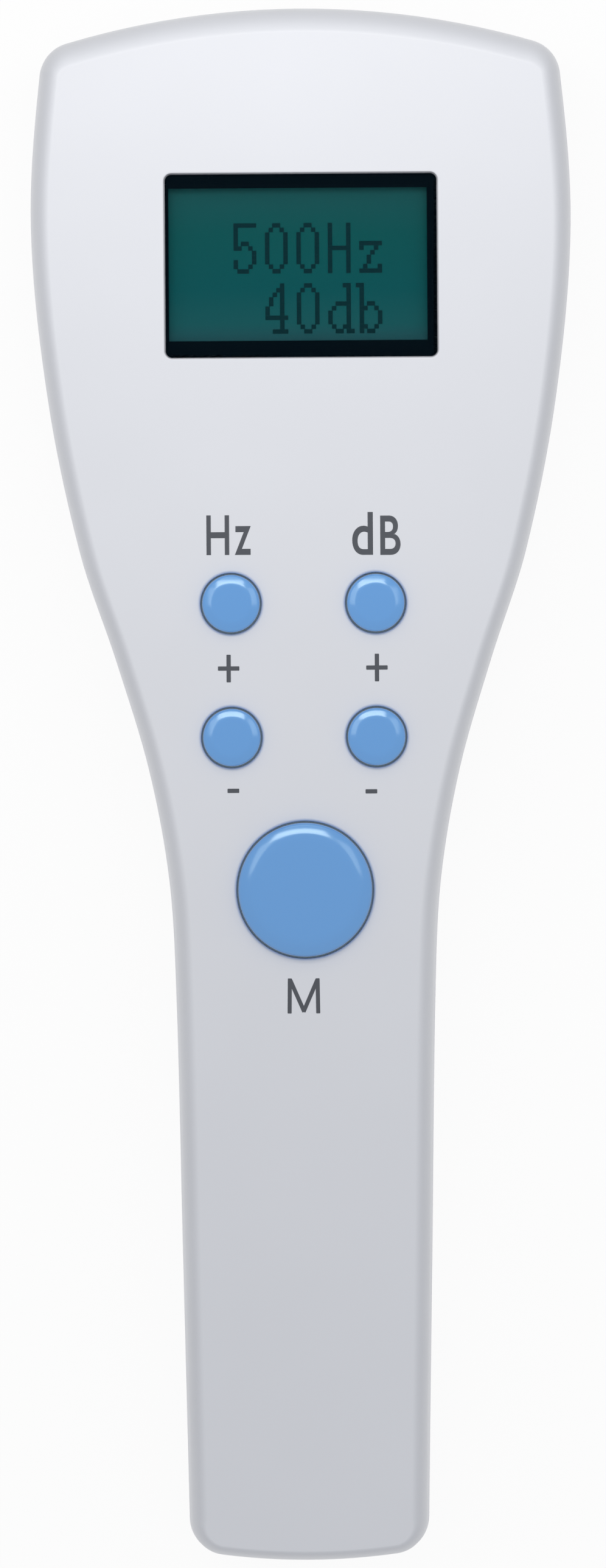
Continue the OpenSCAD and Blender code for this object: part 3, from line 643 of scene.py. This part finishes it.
def cell_sleeve():
    """Plain shrink sleeve of a cell."""
    made = Material("cell_sleeve", linear(70, 108, 148), 0.28, Coat_Weight=0.3)
    made.vary_colour(made.noise(6, 4), 0.05)
    made.vary_roughness(made.noise(2, 4), 0.22, 0.36)
    made.bump(made.noise(1.5, 3), 0.01, 0.4)
    return made


def rubbery(name, colour, roughness):
    made = Material(name, colour, roughness, Specular_IOR_Level=0.35)
    made.vary_colour(made.noise(2, 4), 0.08)
    made.bump(made.noise(0.3, 3), 0.01, 0.5)
    return made


SHELL = moulded_plastic("shell_plastic", linear(230, 232, 239), 0.34, Specular_IOR_Level=0.4)
DOOR = moulded_plastic("door_plastic", linear(228, 230, 237), 0.36, Specular_IOR_Level=0.4)
KEY = moulded_plastic("key_plastic", linear(67, 145, 223), 0.19, grain_mm=0.5, height_mm=0.0005,
                      Coat_Weight=1.0, Coat_Roughness=0.13, Coat_IOR=1.65,
                      Specular_IOR_Level=1.0, Specular_Tint=(0.65, 1, 1, 1))
MARK = moulded_plastic("printed_mark", linear(88, 91, 98), 0.55, Specular_IOR_Level=0.2)
WINDOW = clear_window()
MASK = moulded_plastic("black_print", linear(2, 13, 21), 0.55, Specular_IOR_Level=0.01)
GLASS = display_glass()
INK = moulded_plastic("display_ink", linear(7, 48, 54), 0.4, Specular_IOR_Level=0.02)
STEEL = brushed_metal("screw_steel", linear(168, 170, 174), 0.3, (1, 1, 1))
TIN = brushed_metal("tin_plate", linear(196, 196, 192), 0.28)
BOARD = board_material()

# One finish for each material slot of the record.
FINISH = {
    "shell_plastic": SHELL,
    "door_plastic": DOOR,
    "key_plastic": KEY,
    "window": WINDOW,
    "black_print": MASK,
    "lcd": GLASS,
    "diffuser": moulded_plastic("diffuser", linear(215, 226, 226), 0.5),
    "tin_plate": TIN,
    "screw_steel": STEEL,
    "circuit_board": BOARD,
    "chip_plastic": moulded_plastic("chip_plastic", linear(30, 30, 32), 0.6, grain_mm=0.15, height_mm=0.006),
    "black_plastic": moulded_plastic("black_plastic", linear(34, 34, 37), 0.42, grain_mm=0.2,
                                     height_mm=0.004),
    "gold_pin": brushed_metal("gold_pin", linear(212, 172, 92), 0.22),
    "capacitor_sleeve": moulded_plastic("capacitor_sleeve", linear(34, 44, 88), 0.3),
    "mesh_fabric": mesh_fabric(),
    "foam": rubbery("foam", linear(34, 34, 36), 0.9),
    "magnet": brushed_metal("magnet", linear(92, 92, 96), 0.5),
    "paper_cone": rubbery("paper_cone", linear(52, 52, 54), 0.7),
    "copper": brushed_metal("copper", linear(196, 118, 74), 0.3),
    "wire_jacket": rubbery("wire_jacket", linear(58, 58, 62), 0.5),
    "cell_sleeve": cell_sleeve(),
}


def dress_cad_nodes():
    """Every carried-over CAD node gets the finish of its slot."""
    for row in frame["record"]["subparts"]:
        node = frame["nodes"][row["node"]]
        node.data.materials.clear()
        node.data.materials.append(FINISH[row["material_slot"]].data)


# ---- pieces ----------------------------------------------------------------------------------


def front_shell():
    shell = new_object("front_shell_skin", [front_skin()])
    screws, posts, jack_posts = both_sides(CASE_SCREWS), both_sides(BOARD_POSTS), both_sides(JACK_POSTS)
    bosses = rods(screws, BOSS_R, SEAM_Z + BOSS_GAP, ROOT_Z)
    bosses += rods(posts, POST_R, BOARD_Z, ROOT_Z)
    bosses += rods(jack_posts, JACK_POST_R, JACK_LOW_Z, ROOT_Z)
    combine(shell, bosses, "UNION")
    combine(shell, [display_frame(FRAME_WALL, 0, ROOT_Z)], "UNION")
    combine(shell, [display_frame(0, PAST, CEILING_Z)], "DIFFERENCE")

    pilots = rods(screws, CASE_PILOT_R, SEAM_Z - PAST, CASE_PILOT_END)
    pilots += rods(posts, BOARD_PILOT_R, BOARD_Z - PAST, BOARD_PILOT_END)
    pilots += rods(jack_posts, JACK_PILOT_R, JACK_LOW_Z - PAST, JACK_PILOT_END)
    combine(shell, pilots, "DIFFERENCE")

    combine(shell, [window_cutter()], "DIFFERENCE")
    combine(shell, [ledge_cutter()], "DIFFERENCE")
    key_holes = []
    for name in KEYS:
        x, y, r = key_place(name)
        key_holes.append(hole(x, y, r + KEY_GAP, CEILING_Z - PAST, FRONT_Z, KEY_HOLE_EDGE, 1, ROUND_STEPS))
    combine(shell, key_holes, "DIFFERENCE")
    combine(shell, [jack_cutter()], "DIFFERENCE")
    finish_surface(shell)
    return dress(shell, "casing", SHELL.data, "shell_plastic", "front_shell")


def display_frame(wall, deeper, high_z):
    """Block round the display, or its hollow, from under the ceiling to high_z."""
    w, h = FRAME_HALF_W + wall, FRAME_HALF_H + wall
    return block((-w, WINDOW_Y - h, CEILING_Z - FRAME_DEPTH - deeper), (w, WINDOW_Y + h, high_z))


def window_cutter():
    """The lens's seat, with a rounded rim at the face."""
    w, h = LENS_W + 2 * LENS_GAP, LENS_H + 2 * LENS_GAP
    profile = [(0, LEDGE_Z)] + fillet(0, FRONT_Z, WINDOW_EDGE, 1) + [(WINDOW_EDGE, FRONT_Z + PAST)]
    return loft([rounded_rectangle(WINDOW_X, WINDOW_Y, z, w + 2 * out, h + 2 * out, WINDOW_CORNER + out)
                 for out, z in profile])


def ledge_cutter():
    """Opening in the ledge under the lens, round the lit area."""
    return loft([rounded_rectangle(LIT_X, LIT_Y, z, LEDGE_HOLE_W, LEDGE_HOLE_H, LEDGE_HOLE_CORNER)
                 for z in (CEILING_Z - PAST, LEDGE_Z + LEDGE_OVERLAP)])


def jack_cutter():
    """Hole for the headphone socket through the tail wall, rounded at its mouth."""
    sections = [(JACK_HOLE_R, JACK_BACK_Y)] + fillet(JACK_HOLE_R, JACK_MOUTH_Y, JACK_EDGE, -1, 4)
    sections.append((JACK_HOLE_R + JACK_EDGE, TAIL_Y - PAST))
    return loft([[(x, y, z + JACK_Z) for x, z, _ in circle(0, 0, 0, r, HOLE_STEPS)] for r, y in sections])


def t_section(half, y, gap, chamfer):
    """Section of the door or its slot at y: a plate with side rails, wider or narrower at the back face."""
    plate = half + gap
    rail = plate + RAIL
    top = DOOR_T + gap
    low = RAIL_Z - gap
    right = [(plate - chamfer, -PAST), (plate - chamfer, 0), (plate, abs(chamfer))]
    right += [(plate, low), (rail, low), (rail, top)]
    return [(x, y, z) for x, z in right] + [(-x, y, z) for x, z in reversed(right)]


def speaker_posts():
    """Places of the posts that carry the loudspeaker's clamp."""
    angles = [math.radians(degrees) for degrees in SPEAKER_POST_DEGREES]
    return [(SPEAKER_POST_TURN * math.cos(a), SPEAKER_Y + SPEAKER_POST_TURN * math.sin(a)) for a in angles]


def rear_shell():
    shell = new_object("rear_shell_skin", [back_skin()])
    screws, speaker = both_sides(CASE_SCREWS), [(0, SPEAKER_Y)]
    posts = rods(screws, LOWER_BOSS_R, FOOT_Z, SEAM_Z - BOSS_GAP)
    posts += rods(speaker, SPEAKER_R + SPEAKER_RIM, FOOT_Z, SPEAKER_RIM_Z, ROUND_STEPS)
    combine(shell, posts, "UNION")
    combine(shell, rods(speaker_posts(), SPEAKER_POST_R, FOOT_Z, SPEAKER_POST_Z), "UNION")
    combine(shell, [bay_block(BAY_WALL)], "UNION")
    combine(shell, [door_ledge()], "UNION")

    slot = [t_section(DOOR_HALF, y, DOOR_GAP, -DOOR_EDGE) for y in (DOOR_CUT_Y, DOOR_TOP_Y + DOOR_GAP)]
    combine(shell, [loft(slot)], "DIFFERENCE")
    combine(shell, [bay_block(0)], "DIFFERENCE")
    tab_low_y, tab_high_y = BAY_TOP_Y - TAB_LOW, BAY_TOP_Y + TAB_HIGH
    combine(shell, [block((x - TAB_HALF, tab_low_y, CELL_Z), (x + TAB_HALF, tab_high_y, BOARD_Z))
                    for x in (-CELL_X, CELL_X)], "DIFFERENCE")

    mouth = list(reversed(fillet(SINK_R, 0, SCREW_EDGE, -1)))
    sink = [(SINK_R + SCREW_EDGE, -PAST)] + mouth
    sink += [(SINK_R, SINK_Z), (SHANK_R, SINK_Z), (SHANK_R, SEAM_Z + PAST)]
    holes = [turned(x, y, sink, HOLE_STEPS) for x, y in screws]
    holes += rods(speaker, SPEAKER_R + SPEAKER_GAP, WALL, SEAM_Z, ROUND_STEPS)
    combine(shell, holes, "DIFFERENCE")
    combine(shell, rods(speaker_posts(), SPEAKER_PILOT_R, WALL, SEAM_Z), "DIFFERENCE")
    recess = hole(0, SPEAKER_Y, GRILLE_R, GRILLE_DEPTH, 0, GRILLE_EDGE, -1, ROUND_STEPS)
    combine(shell, [recess], "DIFFERENCE")
    combine(shell, grille_cutters(), "DIFFERENCE")
    finish_surface(shell)
    return dress(shell, "casing", SHELL.data, "shell_plastic", "rear_shell")


def bay_block(wall):
    """Block round the battery bay, or with no wall its hollow."""
    w = BAY_HALF + wall
    return block((-w, BAY_LOW_Y - wall, FOOT_Z), (w, BAY_TOP_Y + wall, BAY_ROOF_Z + wall))


def grille_cutters():
    """One round hole and rings of them round it, each with a rounded mouth."""
    cutters = []
    for i in range(GRILLE_RINGS + 1):
        count = max(6 * i, 1)
        for k in range(count):
            a = math.radians(360 * k / count + GRILLE_DEGREES)
            x, y = i * GRILLE_PITCH * math.cos(a), SPEAKER_Y + i * GRILLE_PITCH * math.sin(a)
            cutters.append(hole(x, y, GRILLE_HOLE_R, WALL + PAST, GRILLE_DEPTH, GRILLE_EDGE, -1,
                                SMALL_HOLE_STEPS))
    return cutters


def door_ledge():
    """Thick floor round the bay that the door slides in, from the tail to above the door."""
    top_y = DOOR_TOP_Y + LEDGE_PAST
    points = [(x, y) for x, y, _ in ring(DRAFT, 0, LEDGE_INSET) if y < top_y]
    # The outline runs clockwise from the crown, so these points go from the right side round the tail.
    points = [(points[0][0], top_y)] + points + [(points[-1][0], top_y)]
    return loft([[(x, y, z) for x, y in points] for z in (FOOT_Z, LEDGE_TOP_Z)])


def thumb_groove(place):
    """Cutter of one groove of the door, counted from its top."""
    half = THUMB_HALF - THUMB_SHORTER * place
    y = DOOR_TOP_Y - THUMB_FIRST - THUMB_PITCH * place
    rings = []
    for depth, w in THUMB_SECTION:
        length = 2 * (half - THUMB_END + w)
        rings.append(rounded_rectangle(0, y, depth, length, 2 * w, w * ALL_ROUND, 6))
    return loft(rings)


def battery_door():
    door = new_object("battery_door_skin", [loft(rings_of(BACK_PROFILE) + [ring(0, SEAM_Z)])])
    plate = [t_section(DOOR_HALF, y, 0, DOOR_EDGE) for y in (DOOR_CUT_Y, DOOR_TOP_Y)]
    combine(door, [loft(plate)], "INTERSECT")
    combine(door, [thumb_groove(place) for place in range(THUMB_GROOVES)], "DIFFERENCE")
    finish_surface(door)
    return dress(door, "battery_door", DOOR.data, "door_plastic", "battery_door")


def key_top(r, top, rise):
    """(radius, z) pairs over a cap: round shoulder, bulging bevel, and a slightly crowned top."""
    spread = BEVEL_SPREAD_PER_R * (r - PLAIN_BEVEL_R)
    flat, steep = math.radians(BEVEL_DEGREES - spread), math.radians(BEVEL_DEGREES + spread)
    crown = CROWN_PER_R * r
    shoulder = SHOULDER_PER_RISE * rise
    arc_end = math.pi / 2 - steep
    knee_r = r - BEVEL_PER_R * r - BEVEL_MORE
    knee_z = top - crown
    bevel_w = r - shoulder * (1 - math.cos(arc_end)) - knee_r

    def bevel_at(part):
        """Point of the bevel, whose slope grows evenly from its inner edge, at 0, to its outer one, at 1."""
        slope = flat + (steep - flat) * part
        drop = bevel_w / (steep - flat) * math.log(math.cos(flat) / math.cos(slope))
        return knee_r + bevel_w * part, knee_z - drop

    shoulder_low = bevel_at(1)[1] - shoulder * math.sin(arc_end)
    pairs = []
    for k in range(SHOULDER_STEPS + 1):
        a = arc_end * k / SHOULDER_STEPS
        pairs.append((r - shoulder * (1 - math.cos(a)), shoulder_low + shoulder * math.sin(a)))
    for k in range(1, BEVEL_STEPS):
        pairs.append(bevel_at(1 - (1 - KNEE_BLEND) * k / BEVEL_STEPS))

    inner_r = knee_r - KNEE_BLEND * bevel_w
    # A quadratic curve bends the bevel into the crown.
    start = Vector(bevel_at(KNEE_BLEND))
    middle = Vector((knee_r, knee_z))
    end = Vector((inner_r, top - crown * (inner_r / knee_r) ** 2))
    for k in range(KNEE_STEPS + 1):
        t = k / KNEE_STEPS
        pairs.append(tuple(start * (1 - t) ** 2 + middle * 2 * t * (1 - t) + end * t**2))
    for k in range(1, CROWN_STEPS):
        ring_r = inner_r * (1 - k / CROWN_STEPS)
        pairs.append((ring_r, top - crown * (ring_r / knee_r) ** 2))
    return pairs


def key(name):
    """Key cap with its straight side, flange and stem."""
    x, y, r = key_place(name)
    low, high = cad_box("key_" + name)
    flange_top = CEILING_Z - KEY_FLANGE_GAP
    flange_low = flange_top - KEY_FLANGE_T
    stem_r = KEY_STEM_PER_R * r
    flange_r = r + KEY_FLANGE
    profile = [(stem_r, low.z), (stem_r, flange_low), (flange_r, flange_low), (flange_r, flange_top)]
    profile.append((r, flange_top))
    profile += key_top(r, high.z, high.z - FRONT_Z)
    cap = new_object("key_cap_" + name, [turned(x, y, profile, KEY_STEPS)])
    finish_surface(cap)
    return dress(cap, name + "_key", KEY.data, "key_plastic", "key_" + name)


def lens():
    sections = [(0, lens_low.z)] + fillet(0, lens_high.z, LENS_EDGE, 1, 5)
    rings = [rounded_rectangle(WINDOW_X, WINDOW_Y, z, LENS_W - 2 * d, LENS_H - 2 * d, LENS_CORNER - d)
             for d, z in sections]
    made = new_object("display_lens_clear", [loft(rings)])
    finish_surface(made)
    return dress(made, "casing", WINDOW.data, "window", "display_lens")


# ---- marks -----------------------------------------------------------------------------------
MARK_T = 0.03
MARK_SINK = 0.01
LETTER_BOLD = 0.009
# Middle x and y, width and height of a letter.
UNIT_H = (-10.93, 32.0, 2.92, 5.1)
UNIT_Z = (-7.72, 31.3, 2.05, 3.7)
UNIT_D = (7.67, 32.1, 2.66, 5.5)
UNIT_B = (11.24, 31.85, 2.6, 5.05)
SIGN_STROKE, SIGN_CORNER = 0.55, 0.08
PLUS_W, PLUS_H = 2.75, 3.55
PLUS_AT = {"left": (-9.65, 14.87), "right": (9.4, 14.87)}
MINUS_W = 1.5
MINUS_AT = {"left": (-9.15, -0.84), "right": (8.58, -1.02)}
# The large key's letter: middle x, foot and head, then how far its feet and shoulders stand out.
M_AT = (-0.28, -29.48, -24.98)
M_FOOT, M_SHOULDER, M_STROKE = 1.84, 1.78, 0.52
# The slanted strokes start this far under the head and meet this far over the foot, and run on a little.
M_TOP, M_VERTEX, M_PAST = 0.1, 0.3, 0.05


def letter(name, text, x, y, w, h):
    """Plain letter on the front face, w wide and h tall round (x, y)."""
    curve = bpy.data.curves.new(name, "FONT")
    curve.body = text
    curve.extrude = 0.5
    curve.offset = LETTER_BOLD
    source = bpy.data.objects.new(name, curve)
    bpy.context.scene.collection.objects.link(source)
    bpy.context.view_layer.update()
    graph = bpy.context.evaluated_depsgraph_get()
    mesh = bpy.data.meshes.new_from_object(source.evaluated_get(graph))
    bpy.data.objects.remove(source)
    bpy.data.curves.remove(curve)
    low = Vector([min(v.co[i] for v in mesh.vertices) for i in range(3)])
    high = Vector([max(v.co[i] for v in mesh.vertices) for i in range(3)])
    size = high - low
    for v in mesh.vertices:
        part = [(v.co[i] - low[i]) / size[i] for i in range(3)]
        v.co = Vector((x + w * (part[0] - 0.5), y + h * (part[1] - 0.5),
                       FRONT_Z - MARK_SINK + MARK_T * part[2])) * MM
    made = bpy.data.objects.new(name, mesh)
    bpy.context.scene.collection.objects.link(made)
    return dress(made, "casing", MARK.data, "black_print")


def strokes(name, lines, width, corner):
    """Printed strokes on the front face, each from one (x, y) to another."""
    made = None
    for (x0, y0), (x1, y1) in lines:
        length = math.hypot(x1 - x0, y1 - y0)
        c, s = (x1 - x0) / length, (y1 - y0) / length
        middle_x, middle_y = (x0 + x1) / 2, (y0 + y1) / 2
        flat = rounded_rectangle(0, 0, 0, length, width, corner, 4)
        rings = [[(middle_x + u * c - v * s, middle_y + u * s + v * c, z) for u, v, _ in flat]
                 for z in (FRONT_Z - MARK_SINK, FRONT_Z - MARK_SINK + MARK_T)]
        if made:
            combine(made, [loft(rings)], "UNION")
        else:
            made = new_object(name, [loft(rings)])
    return dress(made, "casing", MARK.data, "black_print")


def marks():
    """Units over the two rows of keys, plus and minus between them, and the large key's letter."""
    letter("mark_h", "H", *UNIT_H)
    letter("mark_z", "z", *UNIT_Z)
    letter("mark_d", "d", *UNIT_D)
    letter("mark_b", "B", *UNIT_B)
    for side, (x, y) in PLUS_AT.items():
        half_w, half_h = PLUS_W / 2, PLUS_H / 2
        strokes("mark_plus_" + side, [((x - half_w, y), (x + half_w, y)), ((x, y - half_h), (x, y + half_h))],
                SIGN_STROKE, SIGN_CORNER)
    for side, (x, y) in MINUS_AT.items():
        half = MINUS_W / 2
        strokes("mark_minus_" + side, [((x - half, y), (x + half, y))], SIGN_STROKE, SIGN_CORNER)
    x, low_y, high_y = M_AT
    meet_y = low_y + M_VERTEX - 2 * M_PAST
    lines = []
    for side in (-1, 1):
        shoulder_x = x + side * M_SHOULDER
        lines.append(((x + side * M_FOOT, low_y), (shoulder_x, high_y)))
        lines.append(((shoulder_x, high_y - M_TOP), (x - side * M_PAST, meet_y)))
    strokes("mark_m", lines, M_STROKE, SIGN_CORNER)


# Dot rows of the reading's characters, from the top, with the leftmost dot as the highest bit.
DOTS = {
    "0": [0x18, 0x24, 0x42, 0x42, 0x42, 0x42, 0x42, 0x42, 0x42, 0x24, 0x18],
    "4": [0x04, 0x0C, 0x14, 0x24, 0x24, 0x44, 0x44, 0x7E, 0x04, 0x04, 0x1E],
    "5": [0x7E, 0x40, 0x40, 0x40, 0x58, 0x64, 0x02, 0x02, 0x42, 0x44, 0x38],
    "H": [0x42, 0x42, 0x42, 0x42, 0x42, 0x7E, 0x42, 0x42, 0x42, 0x42, 0x42],
    "z": [0, 0, 0, 0, 0x7E, 0x44, 0x08, 0x10, 0x10, 0x22, 0x7E],
    "d": [0x06, 0x02, 0x02, 0x02, 0x1E, 0x22, 0x42, 0x42, 0x42, 0x26, 0x1B],
    "b": [0xC0, 0x40, 0x40, 0x40, 0x58, 0x64, 0x42, 0x42, 0x42, 0x64, 0x58],
}
DOTS_ACROSS, DOTS_DOWN = 8, 11
DOT_W, DOT_H = 0.47, 0.59
DOT_HALF_W, DOT_HALF_H = 0.29, 0.29
INK_SINK, INK_T = 0.01, 0.02
CHARACTER_PITCH = 4.04
READING = [("500Hz", -7.2, 68.85), (" 40db", -7.2, 61.1)]


def runs(row):
    """First and last place of each unbroken run of dots in a row."""
    found = []
    for across in range(DOTS_ACROSS):
        if row & (1 << (DOTS_ACROSS - 1 - across)):
            if found and found[-1][1] == across - 1:
                found[-1][1] = across
            else:
                found.append([across, across])
    return found


def reading():
    """Dot-matrix reading on the display: a tone and a level."""
    panel_top = cad_box("lcd_panel")[1].z
    solids = []
    for text, first_x, middle_y in READING:
        for place, character in enumerate(text):
            middle_x = first_x + place * CHARACTER_PITCH
            for down, row in enumerate(DOTS.get(character, [])):
                y = middle_y - (down - (DOTS_DOWN - 1) / 2) * DOT_H
                for first, last in runs(row):
                    low_x = middle_x + (first - (DOTS_ACROSS - 1) / 2) * DOT_W - DOT_HALF_W
                    high_x = middle_x + (last - (DOTS_ACROSS - 1) / 2) * DOT_W + DOT_HALF_W
                    solids.append(block((low_x, y - DOT_HALF_H, panel_top - INK_SINK),
                                        (high_x, y + DOT_HALF_H, panel_top + INK_T)))
    made = new_object("reading_dots", solids)
    return dress(made, "casing", INK.data, "lcd")


# ---- studio ----------------------------------------------------------------------------------
# Light: a soft sky, two lamps over the crown's end, so that the face darkens towards the tail, and a
# fainter one on each side, which lengthens the gleam on the keys' upper edges.
HORIZON_LEVEL, ZENITH_LEVEL = 0.375, 0.75
AMBIENT_COLOUR = (0.98, 0.99, 1.0)
FLOOR_PALE = (0.6, 0.6, 0.61)
FLOOR_WHITE = (1, 1, 1)
# The floor reaches this far each way and lies this far under the part, in metres. FLOOR_SHARE of what the
# camera sees of it is plain white, and the rest keeps the shadow.
FLOOR_HALF, FLOOR_DROP = 12, 0.0002
FLOOR_SHARE = 0.92
LAMP_COLOUR = (1.0, 0.985, 0.95)
# Place, width, height and power of each lamp, in metres and watts.
LAMPS = {
    "head_lamp": ((-0.014, 0.122, 0.19), 0.14, 0.052, 0.084),
    "crown_lamp": ((0, 0.125, 0.115), 0.1, 0.04, 0.0095),
    "left_lamp": ((-0.1, 0.062, 0.19), 0.056, 0.09, 0.016),
    "right_lamp": ((0.1, 0.062, 0.19), 0.056, 0.09, 0.014),
}


def seen_directly(nodes, links, share):
    """share where the camera sees a surface, also in a reflection or through glass, and 0 for other rays."""
    rays = nodes.new("ShaderNodeLightPath")
    total = rays.outputs["Is Camera Ray"]
    for name in ("Is Glossy Ray", "Is Transmission Ray"):
        add = nodes.new("ShaderNodeMath")
        add.operation = "MAXIMUM"
        links.new(total, add.inputs[0])
        links.new(rays.outputs[name], add.inputs[1])
        total = add.outputs["Value"]
    scaled = nodes.new("ShaderNodeMath")
    scaled.operation = "MULTIPLY"
    links.new(total, scaled.inputs[0])
    scaled.inputs[1].default_value = share
    return scaled.outputs["Value"]


def floor():
    """Pale floor that the camera sees as white, with the object's soft shadow kept."""
    corners = [(x * FLOOR_HALF, y * FLOOR_HALF, 0) for x, y in ((-1, -1), (1, -1), (1, 1), (-1, 1))]
    mesh = bpy.data.meshes.new("floor")
    mesh.from_pydata(corners, [], [(0, 1, 2, 3)])
    obj = bpy.data.objects.new("floor", mesh)
    obj.location.z = -FLOOR_DROP
    bpy.context.scene.collection.objects.link(obj)
    material = bpy.data.materials.new("floor")
    material.use_nodes = True
    nodes, links = material.node_tree.nodes, material.node_tree.links
    nodes.clear()
    output = nodes.new("ShaderNodeOutputMaterial")
    colour = nodes.new("ShaderNodeMix")
    colour.data_type = "RGBA"
    colour.inputs[6].default_value = (*FLOOR_PALE, 1)
    colour.inputs[7].default_value = (*FLOOR_WHITE, 1)
    links.new(seen_directly(nodes, links, 1.0), colour.inputs[0])
    diffuse = nodes.new("ShaderNodeBsdfDiffuse")
    links.new(colour.outputs[2], diffuse.inputs["Color"])
    white = nodes.new("ShaderNodeEmission")
    white.inputs["Color"].default_value = (1, 1, 1, 1)
    white.inputs["Strength"].default_value = 1.0
    mix = nodes.new("ShaderNodeMixShader")
    links.new(seen_directly(nodes, links, FLOOR_SHARE), mix.inputs["Fac"])
    links.new(diffuse.outputs["BSDF"], mix.inputs[1])
    links.new(white.outputs["Emission"], mix.inputs[2])
    links.new(mix.outputs["Shader"], output.inputs["Surface"])
    mesh.materials.append(material)


def world():
    """Soft light all round, stronger from above, which the camera sees as white."""
    made = bpy.data.worlds.new("studio")
    bpy.context.scene.world = made
    made.use_nodes = True
    nodes, links = made.node_tree.nodes, made.node_tree.links
    nodes.clear()
    output = nodes.new("ShaderNodeOutputWorld")
    place = nodes.new("ShaderNodeTexCoord")
    split = nodes.new("ShaderNodeSeparateXYZ")
    links.new(place.outputs["Generated"], split.inputs["Vector"])
    level = nodes.new("ShaderNodeMapRange")
    level.inputs["To Min"].default_value = HORIZON_LEVEL
    level.inputs["To Max"].default_value = ZENITH_LEVEL
    links.new(split.outputs["Z"], level.inputs["Value"])
    ambient = nodes.new("ShaderNodeBackground")
    ambient.inputs["Color"].default_value = (*AMBIENT_COLOUR, 1)
    links.new(level.outputs["Result"], ambient.inputs["Strength"])
    white = nodes.new("ShaderNodeBackground")
    white.inputs["Color"].default_value = (1, 1, 1, 1)
    white.inputs["Strength"].default_value = 1.0
    mix = nodes.new("ShaderNodeMixShader")
    links.new(seen_directly(nodes, links, 1.0), mix.inputs["Fac"])
    links.new(ambient.outputs["Background"], mix.inputs[1])
    links.new(white.outputs["Background"], mix.inputs[2])
    links.new(mix.outputs["Shader"], output.inputs["Surface"])


def lamps():
    for name, (place, width, height, power) in LAMPS.items():
        data = bpy.data.lights.new(name, "AREA")
        data.shape = "RECTANGLE"
        data.size, data.size_y = width, height
        data.energy = power
        data.color = LAMP_COLOUR
        obj = bpy.data.objects.new(name, data)
        obj.location = place
        bpy.context.scene.collection.objects.link(obj)


# The camera looks straight down on the front face, far enough away to show hardly any perspective. Its
# picture is VIEW_LENGTH long at VIEW_PLANE_Z.
VIEW_LENGTH = 201.88
VIEW_DISTANCE = 3000
VIEW_PLANE_Z = 20
VIEW_MIDDLE = (-0.2, -0.02)
VIEW_ROLL_DEGREES = 0.39
CLIP_END = 100


def camera():
    data = bpy.data.cameras.new("camera")
    data.lens = data.sensor_width * VIEW_DISTANCE / VIEW_LENGTH
    data.clip_end = CLIP_END
    obj = bpy.data.objects.new("camera", data)
    obj.location = Vector((*VIEW_MIDDLE, VIEW_PLANE_Z + VIEW_DISTANCE)) * MM
    obj.rotation_euler = (0, 0, math.radians(-VIEW_ROLL_DEGREES))
    bpy.context.scene.collection.objects.link(obj)
    bpy.context.scene.camera = obj


def view_settings():
    bpy.context.scene.view_settings.view_transform = "Standard"


dress_cad_nodes()
front_shell()
rear_shell()
battery_door()
for key_name in KEYS:
    key(key_name)
lens()
marks()
reading()
floor()
world()
lamps()
camera()
view_settings()
